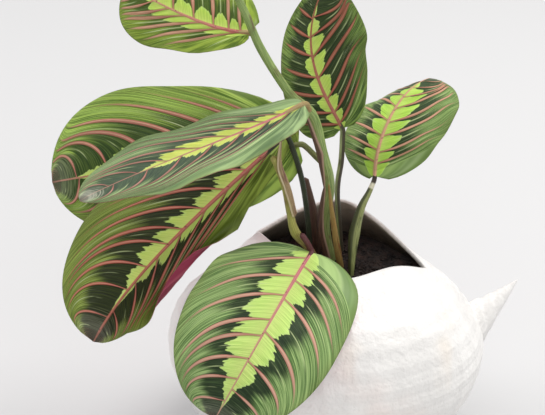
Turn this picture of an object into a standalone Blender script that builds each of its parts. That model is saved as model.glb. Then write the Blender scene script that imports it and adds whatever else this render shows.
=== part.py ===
"""A potted prayer plant: seven patterned leaves on thin stems, standing in a large sea-snail shell.

Lengths are in millimetres here and become metres where a mesh is made. The shell stands on the
floor at the origin, with its spire to the right (+X). The front of the plant faces -Y.
"""
import math

import bpy
import bmesh
import numpy as np

MM = 0.001
GAP = 0.35  # air between two pieces that touch

# Shell
BASE = (31.0, 27.0)  # half width and half depth of the flat spot it stands on
BELLY = (70.0, 60.0)  # half width and half depth where it is widest
FLANK_SHARE, FLANK_Z = 0.80, 13.0
BELLY_Z = 45.0
SHOULDER_SHARE, SHOULDER_RISE = (0.84, 0.77), (0.83, 0.70)  # at the front, at the back
MOUTH_RIGHT = (43.0, -2.0, 85.0)
MOUTH_BACK = ((36.5, 5.0, 90.0), (22.0, 23.5, 96.0), (7.0, 34.0, 100.0), (-12.0, 27.0, 99.0))
MOUTH_LEFT = (-31.0, 13.0, 95.0)
MOUTH_FRONT = ((-23.5, 4.5, 93.5), (-10.0, -15.0, 93.0), (6.0, -23.0, 92.0), (28.0, -10.0, 90.5))
MOUTH_TURN = (-3.0, 157.0)  # angles of the right and left corner round the belly
WALL_LIP, WALL_BELLY, LIP_ROUND = 1.8, 3.2, 0.7
FLOOR = 4.0
SHELL_BACK_STEPS, SHELL_FRONT_STEPS, SHELL_ROWS = 22, 26, 10

# Spire of the shell
SPIRE_ANGLE, SPIRE_LEVEL = 8.0, 0.55
SPIRE_RADIUS, SPIRE_SINK = 10.0, 1.4
SPIRE_SKIN_SINK = 0.6  # share of the sink that its skin starts with at the foot
SPIRE_UNDER = (0.4, 1.0)  # rings of its hidden end, as shares of the way from its middle to its foot
SPIRE_FLARE = 1.2
SPIRE_LEAN = (17.0, 5.0, 20.0)
SPIRE_TURNS, SPIRE_STEP = 2.5, 0.10
SPIRE_ROWS, SPIRE_SIDES = 12, 18

# Soil
SOIL_Z = 82.0
SOIL_LUMP, SOIL_MOUND = 1.0, 2.0
MOUND_PLACE, MOUND_SPREAD = (1.0, 6.0), 300.0
SOIL_RINGS = 5
SOIL_GAP, SOIL_CLEAR = 0.5, 1.0
HOLE_DEPTH, HOLE_RISE, STEM_FOOT = 15.0, 12.0, 14.0
HOLE_SLACK = 0.6  # more room for a stem that leans as it leaves the soil

# Leaf blades
THICK = 0.8
VEINS = 8
ACROSS = (0.0, 0.2, 0.42, 0.64, 0.84, 1.0)
FAN = (0.3, 0.65)
LOBE_LENGTH = 0.12
BASE_BLUNT, TIP_BLUNT = (3.0, 0.4), (2.4, 0.55)
VEIN_RISE = 0.35
VEIN_REACH_BASE, VEIN_REACH_SLOPE = 0.35, 0.35
MERGE = 0.8
# The petiole runs on under the rib: share of the blade's length, and depth and radius as shares of
# the petiole's own radius
UNDER_RIB = ((0.0, 0.1, 1.0), (0.12, 0.3, 0.8), (0.3, 0.4, 0.45))

# Each blade: rib from base to tip, directions that its upper face looks in at base and tip. Then for
# its left and right half: width towards base and towards tip, how far its base lobe reaches back,
# fold and curl in degrees. Last the height and number of its edge waves, the bluntness of its tip
# where that is its own, and its petiole with its radius at each place, or one radius throughout.
LEAVES = {
    "leaf_upper_left": dict(
        rib=((-33.0, -3.2, 194.7), (-45.0, -2.5, 194.2), (-60.0, 2.5, 199.2), (-83.0, 9.0, 210.0)),
        face=((0.1, -0.75, 0.65), (-0.1, -0.8, 0.6)),
        half=((7.0, 24.0), (23.0, 21.0)), lobe=(0.0, 4.0),
        fold=(4, 6), curl=(-12, -14), wave=(1.2, 3),
        petiole=((-30.3, -3.2, 193.6), (-31.8, -3.1, 194.3)),
        radius=1.3,
    ),
    "leaf_back": dict(
        rib=((5.7, 18.0, 143.0), (-1.0, 15.0, 158.0), (-18.0, 20.0, 180.0), (0.0, 33.0, 205.0)),
        face=((0.1, -0.95, 0.3), (0.0, -0.7, 0.7)),
        half=((22.0, 5.0), (20.0, 27.0)), lobe=(2.0, 2.0),
        fold=(8, 8), curl=(-12, -22), wave=(1.0, 3),
        petiole=((6.5, 15.5, 84.0), (4.2, 15.0, 113.0), (5.6, 16.0, 128.0), (6.0, 18.0, 138.0)),
        radius=1.2,
    ),
    "leaf_right": dict(
        rib=((19.8, 8.0, 125.0), (19.5, 10.0, 141.0), (30.0, 28.0, 158.0), (47.0, 55.0, 150.0)),
        face=((-0.1, -0.9, 0.4), (0.1, 0.2, 1.0)),
        half=((22.0, 20.0), (22.0, 26.0)), lobe=(2.0, 2.0),
        fold=(-28, 4), curl=(-14, -20), wave=(1.2, 3),
        petiole=((10.0, -4.6, 84.0), (10.4, -2.5, 92.0), (11.2, 0.0, 101.0), (13.8, 2.5, 112.0),
                 (17.2, 5.0, 118.6), (19.2, 7.0, 122.6)),
        radius=(1.2, 1.7, 2.4, 1.8, 1.2, 1.0),
    ),
    "leaf_left_back": dict(
        rib=((-13.0, 12.0, 138.0), (-38.0, 14.0, 134.0), (-84.0, 10.0, 127.5), (-118.0, 6.0, 123.0)),
        face=((0.0, -0.9, 0.45), (-0.2, -0.85, 0.5)),
        half=((24.0, 31.0), (25.0, 43.0)), lobe=(2.0, 2.0),
        fold=(3, 3), curl=(-10, -22), wave=(1.6, 3),
        petiole=((-1.2, 10.2, 128.5), (-5.5, 11.4, 132.5), (-10.0, 12.0, 137.0)),
        radius=1.3,
    ),
    "leaf_left_front": dict(
        rib=((-11.5, -10.7, 166.8), (-30.0, -22.5, 160.5), (-70.0, -34.0, 152.0), (-98.0, -54.0, 145.5)),
        face=((0.2, -0.3, 1.0), (-0.1, -0.1, 1.0)),
        half=((14.0, 19.0), (10.0, 26.0)), lobe=(1.0, 1.0),
        fold=(4, 4), curl=(-8, -10), wave=(1.2, 3), tip=(2.2, 0.7),
        petiole=((-9.0, -4.8, 161.3), (-9.8, -7.5, 164.0)),
        radius=1.3,
    ),
    "leaf_left_low": dict(
        rib=((-19.0, 1.5, 147.0), (-42.0, -11.0, 129.0), (-82.0, -27.0, 101.0), (-98.0, -43.0, 74.0)),
        face=((-0.25, -0.8, 0.55), (-0.3, -0.8, 0.4)),
        half=((17.0, 29.0), (24.0, 44.0)), lobe=(1.0, 1.0),
        fold=(-56, 0), curl=(-40, -14), wave=(1.4, 3),
        petiole=((-7.5, 11.0, 84.0), (-8.1, 9.5, 96.7), (-10.0, 8.0, 114.5), (-12.0, 7.5, 126.0),
                 (-15.0, 6.5, 137.0), (-17.6, 4.0, 145.0)),
        radius=1.2,
    ),
    "leaf_front": dict(
        rib=((-7.7, -13.0, 99.0), (-17.0, -37.0, 97.0), (-35.0, -79.0, 86.0), (-47.0, -73.0, 57.0)),
        face=((0.0, -0.6, 0.8), (-0.1, -1.0, -0.1)),
        half=((31.0, 30.0), (34.0, 34.0)), lobe=(2.0, 2.0),
        fold=(12, 4), curl=(-18, -20), wave=(1.4, 3),
        petiole=((-12.2, -9.8, 107.0), (-10.0, -11.5, 104.5), (-8.2, -11.8, 101.0)),
        radius=1.3,
    ),
}

ROOTED_LEAVES = ("leaf_back", "leaf_left_low", "leaf_right")  # whose petioles stand in the soil

# Stems that carry no blade of their own node: places along the middle and radius at each place
MAIN_STEM = ((1.3, 9.0, 84.0), (-1.6, 8.0, 101.6), (0.3, 5.0, 122.0), (-3.3, 2.0, 140.2),
             (-7.8, -0.6, 157.7), (-17.0, -2.6, 168.0), (-28.4, -6.0, 188.4), (-34.4, -8.0, 204.0),
             (-39.5, -10.0, 216.0))
MAIN_RADIUS = (2.5, 2.4, 2.2, 2.1, 2.2, 1.8, 1.7, 1.6, 1.5)
ROLLED_LEAF = ((-39.8, -10.2, 216.8), (-42.0, -11.4, 226.0), (-44.5, -13.0, 238.0),
               (-46.5, -15.0, 250.0), (-47.5, -16.5, 262.0))
ROLLED_RADIUS = (1.5, 2.6, 3.1, 2.3, 0.5)
FRONT_STALK = ((-4.5, 2.5, 84.0), (-8.8, -4.0, 96.9), (-14.4, -7.0, 105.9), (-16.6, -9.0, 115.7),
               (-19.2, -12.0, 130.0), (-22.6, -15.0, 142.0), (-23.8, -16.0, 146.2))
FRONT_RADIUS = (1.8, 1.7, 2.1, 1.5, 1.2, 1.1, 1.6)
BROWN_SHEATH = ((5.6, 1.6, 84.0), (4.4, 0.4, 91.2), (1.9, -0.4, 107.9), (-0.3, -0.2, 125.5))
BROWN_RADIUS = (1.4, 1.5, 1.2, 0.4)
STUB = ((-4.0, 16.0, 84.0), (-6.6, 14.5, 105.0), (-10.0, 13.5, 121.5))
STUB_RADIUS = (1.9, 2.0, 1.3)

# Sheaths: each stands this far out from the radii that it follows. Radii, spans in degrees and the
# direction of the back of the two that clasp the main stem and of the dry one on the front stalk.
SHEATH_OUT, SHEATH_STEPS = 0.7, 6
LOW_SHEATH = ((2.3, 2.1, 1.9), (150, 120, 30), (-1.0, -0.5, 0.0))
JOINT_SHEATH = ((2.0, 1.9, 2.0), (40, 170, 60), (-1.0, -0.3, 0.0))
CLASP_THICK = 2.0
DRY_END, DRY_END_RADIUS = (-22.0, -18.0, 155.5), 1.0
DRY_SPANS, DRY_FACING, DRY_THICK = (110, 150, 130, 50), (1.0, -0.25, 0.2), 0.7

GREEN, PALE_GREEN, STEM_GREEN = (0.10, 0.22, 0.05), (0.22, 0.36, 0.12), (0.20, 0.26, 0.07)
BROWN, DRY, PURPLE = (0.22, 0.11, 0.04), (0.34, 0.24, 0.15), (0.14, 0.07, 0.06)
SOIL_BROWN, SHELL_WHITE = (0.03, 0.02, 0.014), (0.86, 0.83, 0.78)


def clear_scene():
    for thing in list(bpy.data.objects):
        bpy.data.objects.remove(thing)


def material(name, colour, roughness):
    made = bpy.data.materials.new(name)
    made.use_nodes = True
    shader = made.node_tree.nodes["Principled BSDF"]
    shader.inputs["Base Color"].default_value = (*colour, 1.0)
    shader.inputs["Roughness"].default_value = roughness
    shader.inputs["Metallic"].default_value = 0.0
    return made


def new_object(name, points, faces, surface=None):
    """A mesh object from points in millimetres, its faces turned outwards."""
    mesh = bpy.data.meshes.new(name)
    mesh.from_pydata([tuple(p) for p in np.asarray(points, float) * MM], [], faces)
    work = bmesh.new()
    work.from_mesh(mesh)
    bmesh.ops.recalc_face_normals(work, faces=work.faces)
    work.to_mesh(mesh)
    work.free()
    mesh.shade_smooth()
    made = bpy.data.objects.new(name, mesh)
    bpy.context.scene.collection.objects.link(made)
    if surface:
        mesh.materials.append(surface)
    return made


def combine(target, others, operation, solver="EXACT"):
    """Joins others to target, or cuts them from it, in one Boolean, and removes them."""
    group = bpy.data.collections.new(target.name + "_tools")
    for thing in others:
        group.objects.link(thing)
    step = target.modifiers.new("combine", "BOOLEAN")
    step.operation = operation
    step.operand_type = "COLLECTION"
    step.collection = group
    step.solver = solver
    bpy.context.view_layer.update()
    depsgraph = bpy.context.evaluated_depsgraph_get()
    made = bpy.data.meshes.new_from_object(target.evaluated_get(depsgraph))
    target.modifiers.clear()
    target.data = made
    made.shade_smooth()
    for thing in others:
        bpy.data.objects.remove(thing)
    bpy.data.collections.remove(group)


def smooth_path(points, count):
    """Evenly spaced places on a smooth curve through the points."""
    points = np.asarray(points, float)
    ends = np.vstack([2 * points[0] - points[1], points, 2 * points[-1] - points[-2]])
    fine = []
    for a, b, c, d in zip(ends, ends[1:], ends[2:], ends[3:]):
        u = np.linspace(0, 1, 24, endpoint=False)[:, None]
        fine.append(0.5 * (2 * b + (c - a) * u + (2 * a - 5 * b + 4 * c - d) * u**2
                           + (3 * b - a - 3 * c + d) * u**3))
    fine = np.vstack([*fine, points[-1:]])
    length = np.r_[0, np.cumsum(np.linalg.norm(np.diff(fine, axis=0), axis=1))]
    at = np.linspace(0, length[-1], count)
    return np.stack([np.interp(at, length, fine[:, k]) for k in range(3)], 1)


def directions(path):
    step = np.gradient(path, axis=0)
    return step / np.linalg.norm(step, axis=1, keepdims=True)


def frames(path):
    """Two unit vectors across the path at each place, carried along it without twist."""
    along = directions(path)
    start = np.cross(along[0], (0.3, 1.0, 0.2))
    first = []
    for ahead in along:
        start = start - ahead * (start @ ahead)
        start = start / np.linalg.norm(start)
        first.append(start)
    first = np.array(first)
    return first, np.cross(along, first)


def loft_faces(rings, sides):
    """Faces between closed rings of points, with a flat cap on the first and the last."""
    faces = [tuple(range(sides))[::-1], tuple(range((rings - 1) * sides, rings * sides))]
    for i in range(rings - 1):
        for j in range(sides):
            k = (j + 1) % sides
            faces.append((i * sides + j, i * sides + k, (i + 1) * sides + k, (i + 1) * sides + j))
    return faces


def tube(name, points, radii, sides=8, spacing=6.0, surface=None):
    """A round stem through the points, its radius changing smoothly from place to place."""
    points = np.asarray(points, float)
    marks = np.r_[0, np.cumsum(np.linalg.norm(np.diff(points, axis=0), axis=1))]
    count = max(3, round(marks[-1] / spacing) + 1)
    path = smooth_path(points, count)
    radius = np.interp(np.linspace(0, marks[-1], count), marks, radii)
    first, second = frames(path)
    turn = np.arange(sides) * 2 * math.pi / sides
    rings = (path[:, None] + radius[:, None, None] * (
        np.cos(turn)[None, :, None] * first[:, None] + np.sin(turn)[None, :, None] * second[:, None]))
    return new_object(name, rings.reshape(-1, 3), loft_faces(count, sides), surface)


def rooted(points):
    """The same places with a straight foot below the soil's surface."""
    start = np.asarray(points[0], float)
    return [start - (0, 0, STEM_FOOT), start - (0, 0, STEM_FOOT / 2), *points]


def foot(radii):
    return [radii[0], radii[0], *radii]


def hole(points, radius):
    """A plain upright round cutter where a stem stands in the soil."""
    start = np.asarray(points[0], float)
    ends = (start - (0, 0, HOLE_DEPTH), start + (0, 0, HOLE_RISE))
    return tube("hole", ends, (radius + GAP, radius + GAP), sides=10, spacing=20.0)


def mouth_edge(share):
    """Places on the edge of the shell's mouth: its back first, from right to left, then its front."""
    back = smooth_path((MOUTH_RIGHT, *MOUTH_BACK, MOUTH_LEFT), 101)
    front = smooth_path((MOUTH_LEFT, *MOUTH_FRONT, MOUTH_RIGHT), 101)
    edge = np.vstack([back, front[1:]])
    at = np.linspace(0, 1, 201)
    return np.stack([np.interp(share % 1.0, at, edge[:, k]) for k in range(3)], -1)


def belly_angle(share):
    right, left = MOUTH_TURN
    return np.radians(np.interp(share, (-0.5, 0.0, 0.5, 1.0), (left - 360, right, left, right + 360)))


def shell_point(share, level):
    """Outer surface of the shell: share runs round it, level from its foot (0) to its lip (1)."""
    share, level = np.broadcast_arrays(np.asarray(share, float), np.asarray(level, float))
    turn = belly_angle(share)
    edge = mouth_edge(share)
    ring = np.stack([np.cos(turn), np.sin(turn)], -1)

    def level_ring(sizes, height):
        return np.concatenate([ring * sizes, np.broadcast_to(height, turn.shape)[..., None]], -1)

    belly = np.array(BELLY)
    back = np.clip(1.6 * np.sin(turn), 0, 1)
    shoulder = SHOULDER_SHARE[0] + (SHOULDER_SHARE[1] - SHOULDER_SHARE[0]) * back
    rise = SHOULDER_RISE[0] + (SHOULDER_RISE[1] - SHOULDER_RISE[0]) * back
    knots = [
        level_ring(BASE, 0.0),
        level_ring(FLANK_SHARE * belly, FLANK_Z),
        level_ring(belly, BELLY_Z),
        level_ring(shoulder[..., None] * belly, rise * edge[..., 2]),
        edge,
    ]
    knots = [1.5 * knots[0] - 0.5 * knots[1] * (1, 1, 0), *knots, 1.4 * knots[4] - 0.4 * knots[3]]
    knots = np.stack(knots, 0)
    at = np.clip(level, 0, 1) * 4
    first = np.minimum(at.astype(int), 3)
    u = (at - first)[..., None]
    a, b, c, d = (np.take_along_axis(knots, (first + k)[None, ..., None], 0)[0] for k in range(4))
    return 0.5 * (2 * b + (c - a) * u + (2 * a - 5 * b + 4 * c - d) * u**2
                  + (3 * b - a - 3 * c + d) * u**3)


def shell_normal(share, level):
    small = 0.004
    level = np.clip(level, small, 1 - small)
    around = shell_point(share + small, level) - shell_point(share - small, level)
    up = shell_point(share, level + small) - shell_point(share, level - small)
    outwards = np.cross(around, up)
    return outwards / np.linalg.norm(outwards, axis=-1, keepdims=True)


def wall(level):
    return np.interp(level, (0.0, 0.7, 1.0), (WALL_BELLY, WALL_BELLY, WALL_LIP))


def shell_inside(share, level, extra=0.0):
    depth = wall(level) + extra
    inside = shell_point(share, level) - shell_normal(share, level) * np.asarray(depth)[..., None]
    inside[..., 2] = np.maximum(inside[..., 2], FLOOR + extra)
    return inside


def shell_shares():
    back = np.linspace(0, 0.5, SHELL_BACK_STEPS, endpoint=False)
    front = np.linspace(0.5, 1.0, SHELL_FRONT_STEPS, endpoint=False)
    return np.r_[back, front]


def shell_pot(surface):
    """The shell's body: thin walled, open at its mouth, with a flat floor inside."""
    share = shell_shares()
    levels = np.linspace(0, 1, SHELL_ROWS + 1)
    outer = [shell_point(share, np.full_like(share, v)) for v in levels]
    inner = [shell_inside(share, np.full_like(share, v)) for v in levels[:0:-1]]
    lip = (outer[-1] + inner[0]) / 2
    lip[:, 2] += LIP_ROUND
    inner[-1][:, 2] = FLOOR
    rings = [*outer, lip, *inner]
    sides = len(share)
    body = new_object("shell_pot", np.vstack(rings), loft_faces(len(rings), sides), surface)
    combine(body, [spire()], "UNION")
    return body


def spire():
    """The pointed top of the coil, leaning up and outwards, its turns stepped."""
    share = (SPIRE_ANGLE - MOUTH_TURN[0]) / (MOUTH_TURN[1] - MOUTH_TURN[0]) / 2
    small = 0.01
    centre = shell_point(share, SPIRE_LEVEL)
    wide = np.linalg.norm(shell_point(share + small, SPIRE_LEVEL) - centre) / small
    tall = np.linalg.norm(shell_point(share, SPIRE_LEVEL + small) - centre) / small
    turn = np.arange(SPIRE_SIDES) * 2 * math.pi / SPIRE_SIDES
    far = np.linspace(1, 0.03, SPIRE_ROWS)[:, None]
    phase = SPIRE_TURNS * np.log(far) - turn / (2 * math.pi)
    spread = far * (1 + SPIRE_STEP * np.abs(np.sin(math.pi * phase)) * (far < 0.95))
    shares = share + spread * SPIRE_RADIUS / wide * np.cos(turn)
    levels = SPIRE_LEVEL + spread * SPIRE_RADIUS / tall * np.sin(turn)
    height = (1 - far) ** SPIRE_FLARE
    over = shell_point(shares, levels) + (height + 0 * turn)[..., None] * np.array(SPIRE_LEAN)
    sink = SPIRE_SKIN_SINK * SPIRE_SINK * far + 0 * turn
    over = over - shell_normal(shares, levels) * sink[..., None]
    under = []
    for part in SPIRE_UNDER:
        foot_share = share + part * (shares[:1] - share)
        foot_level = SPIRE_LEVEL + part * (levels[:1] - SPIRE_LEVEL)
        under.append(shell_point(foot_share, foot_level) - shell_normal(foot_share, foot_level) * SPIRE_SINK)
    rings = np.vstack([*under, over])
    return new_object("spire", rings.reshape(-1, 3), loft_faces(len(rings), SPIRE_SIDES))


def soil_height(x, y):
    """Lumps of the soil's surface, and the low mound round the stems."""
    lumps = np.sin(x / 3.1 + 1.0) * np.cos(y / 2.7) + 0.6 * np.sin(x / 1.9 - y / 2.3 + 0.5)
    mound = np.exp(-((x - MOUND_PLACE[0]) ** 2 + (y - MOUND_PLACE[1]) ** 2) / MOUND_SPREAD)
    return SOIL_LUMP * lumps / 1.6 + SOIL_MOUND * mound


def soil(surface, stands):
    """The soil: it fills the shell up to a little below the lip, with a plain hole for each stem."""
    share = shell_shares()
    levels = np.linspace(0, 1, SHELL_ROWS + 1)[1:]
    rings = [shell_inside(share, np.full_like(share, v), SOIL_GAP) for v in levels]
    rings[0][:, 2] = FLOOR + SOIL_GAP
    columns = np.stack(rings, 1)
    edge = []
    for column in columns:
        edge.append([np.interp(SOIL_Z, column[:, 2], column[:, k]) for k in range(3)])
    edge = np.array(edge)
    rings = [ring for ring in rings if ring[:, 2].max() < SOIL_Z - SOIL_CLEAR] + [edge]
    middle = edge.mean(0)
    for part in np.linspace(1, 0, SOIL_RINGS + 1)[1:-1]:
        ring = middle + (edge - middle) * part
        ring[:, 2] = SOIL_Z + soil_height(ring[:, 0], ring[:, 1]) * min(1.0, 2 * (1 - part))
        rings.append(ring)
    body = new_object("soil", np.vstack(rings), loft_faces(len(rings), len(share)), surface)
    combine(body, [hole(points, radius) for points, radius in stands], "DIFFERENCE")
    return body


def bezier(points, at):
    a, b, c, d = (np.asarray(p, float) for p in points)
    u = np.asarray(at)[..., None]
    return a * (1 - u) ** 3 + 3 * b * u * (1 - u) ** 2 + 3 * c * u**2 * (1 - u) + d * u**3


def outline(along, blunt):
    """Half width of a blade as a share of its widest: blunt at the base, rounder than pointed."""
    along = np.clip(along, 0, 1)
    far = np.abs(1 - 2 * along)
    base = (1 - far ** BASE_BLUNT[0]) ** BASE_BLUNT[1]
    tip = (1 - far ** blunt[0]) ** blunt[1]
    return np.where(along < 0.5, base, tip)


def vein_grid():
    """Places of the blade's net as rows: each row leaves the rib and sweeps towards the tip.

    Gives, for each row, how far along the blade each of its places lies, and its vein number, which
    is whole on a vein, and nothing for the rows of the fan round the base.
    """
    across = np.array(ACROSS)
    rows = [(part * VEIN_REACH_BASE * across**2, None) for part in FAN]
    for k in range(2 * VEINS - 1):
        start = k / (2 * VEINS)
        reach = VEIN_REACH_BASE + VEIN_REACH_SLOPE * start
        rows.append((start + (1 - start) * reach * across**2, k / 2))
    return rows


def blade_frames(leaf, along):
    """Middle, side direction and face direction of a blade at each share of its length."""
    fine = np.linspace(0, 1, 201)
    curve = bezier(leaf["rib"], fine)
    length = np.r_[0, np.cumsum(np.linalg.norm(np.diff(curve, axis=0), axis=1))]
    at = np.interp(along * length[-1], length, fine)
    middle = bezier(leaf["rib"], at)
    ahead = bezier(leaf["rib"], np.minimum(at + 0.01, 1)) - bezier(leaf["rib"], np.maximum(at - 0.01, 0))
    ahead = ahead / np.linalg.norm(ahead, axis=-1, keepdims=True)
    base, tip = (np.asarray(v, float) for v in leaf["face"])
    face = base + (tip - base) * np.asarray(along)[..., None]
    side = np.cross(ahead, face)
    side = side / np.linalg.norm(side, axis=-1, keepdims=True)
    return middle, side, np.cross(side, ahead)


def blade_point(leaf, side_sign, along, across, number):
    """A place on the blade's middle surface, on its left (-1) or right (+1) half."""
    pick = side_sign > 0
    near, far = leaf["half"][pick]
    lobe = leaf["lobe"][pick]
    fold, curl = math.radians(leaf["fold"][pick]), math.radians(leaf["curl"][pick])
    height, waves = leaf["wave"]
    middle, side, face = blade_frames(leaf, along)
    ahead = np.cross(face, side)
    full = outline(along, leaf.get("tip", TIP_BLUNT))
    width = (near + (far - near) * along) * full
    back = lobe * across**2 * np.exp(-along / LOBE_LENGTH)
    turn = curl * across
    bent = np.where(np.abs(turn) < 1e-6, 1, np.sin(turn) / np.where(turn == 0, 1, turn))
    lift = np.where(np.abs(turn) < 1e-6, 0, (1 - np.cos(turn)) / np.where(turn == 0, 1, turn))
    out = width * across
    flat = out * (bent * math.cos(fold) - lift * math.sin(fold))
    rise = out * (bent * math.sin(fold) + lift * math.cos(fold))
    wave = np.sin(2 * math.pi * (waves * along + 0.3 * side_sign))
    rise = rise + height * across**2 * full * wave
    if number is not None:
        ridge = VEIN_RISE if number == int(number) else -VEIN_RISE
        rise = rise + ridge * np.sin(math.pi * across) * (1 - along)
    return middle + side * (side_sign * flat)[..., None] + face * rise[..., None] - ahead * back[..., None]


def blade_sheet(leaf):
    """The blade's middle surface, split into triangles."""
    work = bmesh.new()
    across = np.array(ACROSS)
    tip = blade_frames(leaf, np.array([1.0]))[0][0]
    for side_sign in (-1, 1):
        rows = [blade_point(leaf, side_sign, a, across, n) for a, n in vein_grid()]
        rows = [*rows, [tip] * len(across)]
        made = [[work.verts.new(np.asarray(p) * MM) for p in row] for row in rows]
        for low, high in zip(made, made[1:]):
            for j in range(len(across) - 1):
                corners = [low[j], low[j + 1], high[j + 1], high[j]]
                work.faces.new(corners if side_sign > 0 else corners[::-1])
    bmesh.ops.remove_doubles(work, verts=work.verts, dist=MERGE * MM)
    bmesh.ops.triangulate(work, faces=work.faces, quad_method="SHORT_EDGE")
    return work


def thicken(work):
    """Gives the sheet its thickness: the same triangles above and below, and a rim between them."""
    work.normal_update()
    work.verts.index_update()
    sheet = [v.co.copy() for v in work.verts]
    normals = [v.normal.copy() for v in work.verts]
    half = THICK / 2 * MM
    points = [p + n * half for p, n in zip(sheet, normals)] + [p - n * half for p, n in zip(sheet, normals)]
    count = len(sheet)
    faces = [tuple(v.index for v in f.verts) for f in work.faces]
    under = [tuple(i + count for i in f[::-1]) for f in faces]
    rim = []
    for edge in work.edges:
        if len(edge.link_faces) == 1:
            loop = edge.link_loops[0]
            a, b = loop.vert.index, loop.link_loop_next.vert.index
            rim.append((b, a, a + count, b + count))
    work.free()
    return np.array([tuple(p) for p in points]) / MM, faces + under + rim


def leaf(name, shape, surface):
    """One leaf: its blade, and its petiole that runs on under the first part of the rib."""
    points, faces = thicken(blade_sheet(shape))
    body = new_object(name, points, faces, surface)
    at, depth, share = np.array(UNDER_RIB).T
    middle, _, face = blade_frames(shape, at)
    stalk = list(shape["petiole"])
    radii = list(np.broadcast_to(shape["radius"], len(stalk)))
    run = middle - face * depth[:, None] * radii[-1]
    radii = [*radii, *(share * radii[-1])]
    if name in ROOTED_LEAVES:
        stalk = rooted(stalk)
        radii = foot(radii)
    petiole = tube("petiole", [*stalk, *run], radii, sides=7, spacing=5.0)
    combine(body, [petiole], "UNION", "MANIFOLD")
    return body


def sheath(name, path_points, radii, spans, facing, thick, surface=None):
    """A clasping sheath: a gutter of changing span round a stem, its back to facing."""
    marks = np.linspace(0, 1, len(path_points))
    count = 3 * len(path_points)
    path = smooth_path(path_points, count)
    at = np.linspace(0, 1, count)
    radius = np.interp(at, marks, radii)
    span = np.radians(np.interp(at, marks, spans))
    along = directions(path)
    front = np.asarray(facing, float) - along * (along @ np.asarray(facing, float))[:, None]
    front = front / np.linalg.norm(front, axis=1, keepdims=True)
    side = np.cross(along, front)
    steps = np.linspace(-0.5, 0.5, SHEATH_STEPS)
    turn = span[:, None] * np.r_[steps, steps[::-1]]
    reach = radius[:, None] + np.repeat((SHEATH_OUT, SHEATH_OUT - thick), SHEATH_STEPS)
    rings = (path[:, None] + (reach * np.cos(turn))[..., None] * front[:, None]
             + (reach * np.sin(turn))[..., None] * side[:, None])
    return new_object(name, rings.reshape(-1, 3), loft_faces(count, 2 * SHEATH_STEPS), surface)


def main_stem(surface):
    """The long stem with the old sheaths that clasp its lower part and its joint."""
    body = tube("main_stem", rooted(MAIN_STEM), foot(MAIN_RADIUS), 8, 6.0, surface)
    low = sheath("low", MAIN_STEM[0:3], *LOW_SHEATH, CLASP_THICK)
    joint = sheath("joint", MAIN_STEM[2:5], *JOINT_SHEATH, CLASP_THICK)
    combine(body, [low, joint], "UNION")
    return body


def dry_sheath(surface):
    """The old dry sheath, loose round the front stalk, its end standing out above it."""
    gap = np.array(FRONT_RADIUS[3:6]) + 2 * GAP
    path = (*FRONT_STALK[3:6], DRY_END)
    return sheath("dry_sheath", path, (*gap, DRY_END_RADIUS), DRY_SPANS, DRY_FACING, DRY_THICK, surface)


def stands():
    """Where each stem leaves the soil, and the radius of its foot."""
    leaning = [(MAIN_STEM, MAIN_RADIUS[0] + HOLE_SLACK), (FRONT_STALK, FRONT_RADIUS[0] + HOLE_SLACK)]
    upright = [(BROWN_SHEATH, BROWN_RADIUS[0]), (STUB, STUB_RADIUS[0])]
    for name in ROOTED_LEAVES:
        shape = LEAVES[name]
        upright.append((shape["petiole"], float(np.ravel(shape["radius"])[0])))
    return leaning + upright


def main():
    clear_scene()
    leaf_green = material("leaf_green", GREEN, 0.45)
    stem_green = material("stem_green", STEM_GREEN, 0.5)
    shell_pot(material("bleached_shell", SHELL_WHITE, 0.55))
    soil(material("soil", SOIL_BROWN, 0.95), stands())
    for name, shape in LEAVES.items():
        leaf(name, shape, leaf_green)
    main_stem(stem_green)
    tube("front_stalk", rooted(FRONT_STALK), foot(FRONT_RADIUS), 8, 4.0, stem_green)
    tube("leaf_rolled", ROLLED_LEAF, ROLLED_RADIUS, 8, 5.0, material("young_leaf", PALE_GREEN, 0.45))
    tube("brown_sheath", rooted(BROWN_SHEATH), foot(BROWN_RADIUS), 7, 6.0,
         material("brown_sheath", BROWN, 0.7))
    tube("stub", rooted(STUB), foot(STUB_RADIUS), 7, 6.0, material("stub", PURPLE, 0.6))
    dry_sheath(material("dry_sheath", DRY, 0.8))


main()
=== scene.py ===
import math

import bpy
import numpy as np
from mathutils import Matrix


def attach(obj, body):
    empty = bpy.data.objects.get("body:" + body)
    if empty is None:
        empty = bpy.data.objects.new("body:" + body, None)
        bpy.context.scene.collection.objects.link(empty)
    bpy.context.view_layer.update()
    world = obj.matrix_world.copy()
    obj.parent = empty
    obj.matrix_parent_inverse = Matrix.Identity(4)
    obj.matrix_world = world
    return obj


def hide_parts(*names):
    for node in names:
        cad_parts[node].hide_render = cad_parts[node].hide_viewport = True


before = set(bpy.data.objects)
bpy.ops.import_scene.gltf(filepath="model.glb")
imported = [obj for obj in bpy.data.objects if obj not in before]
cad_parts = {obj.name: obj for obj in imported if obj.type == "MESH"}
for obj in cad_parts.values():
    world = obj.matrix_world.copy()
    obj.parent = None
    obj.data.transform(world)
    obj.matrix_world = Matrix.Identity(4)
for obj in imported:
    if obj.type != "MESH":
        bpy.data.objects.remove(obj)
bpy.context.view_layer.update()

MM = 0.001


# The view. The photograph looks down on the plant at 28 degrees from straight in front, through a
# long lens. Soft daylight falls from the upper right and back, on a pale table.
VIEW_TARGET = (-0.024, 0.0, 0.114)
VIEW_RISE, VIEW_DISTANCE = math.radians(28.0), 0.645


def add_light(name, place, target, size, power, colour):
    lamp = bpy.data.lights.new(name, "AREA")
    lamp.shape = "DISK"
    lamp.size, lamp.energy, lamp.color = size, power, colour
    holder = bpy.data.objects.new(name, lamp)
    bpy.context.scene.collection.objects.link(holder)
    holder.location = place
    aim(holder, target)


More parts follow.
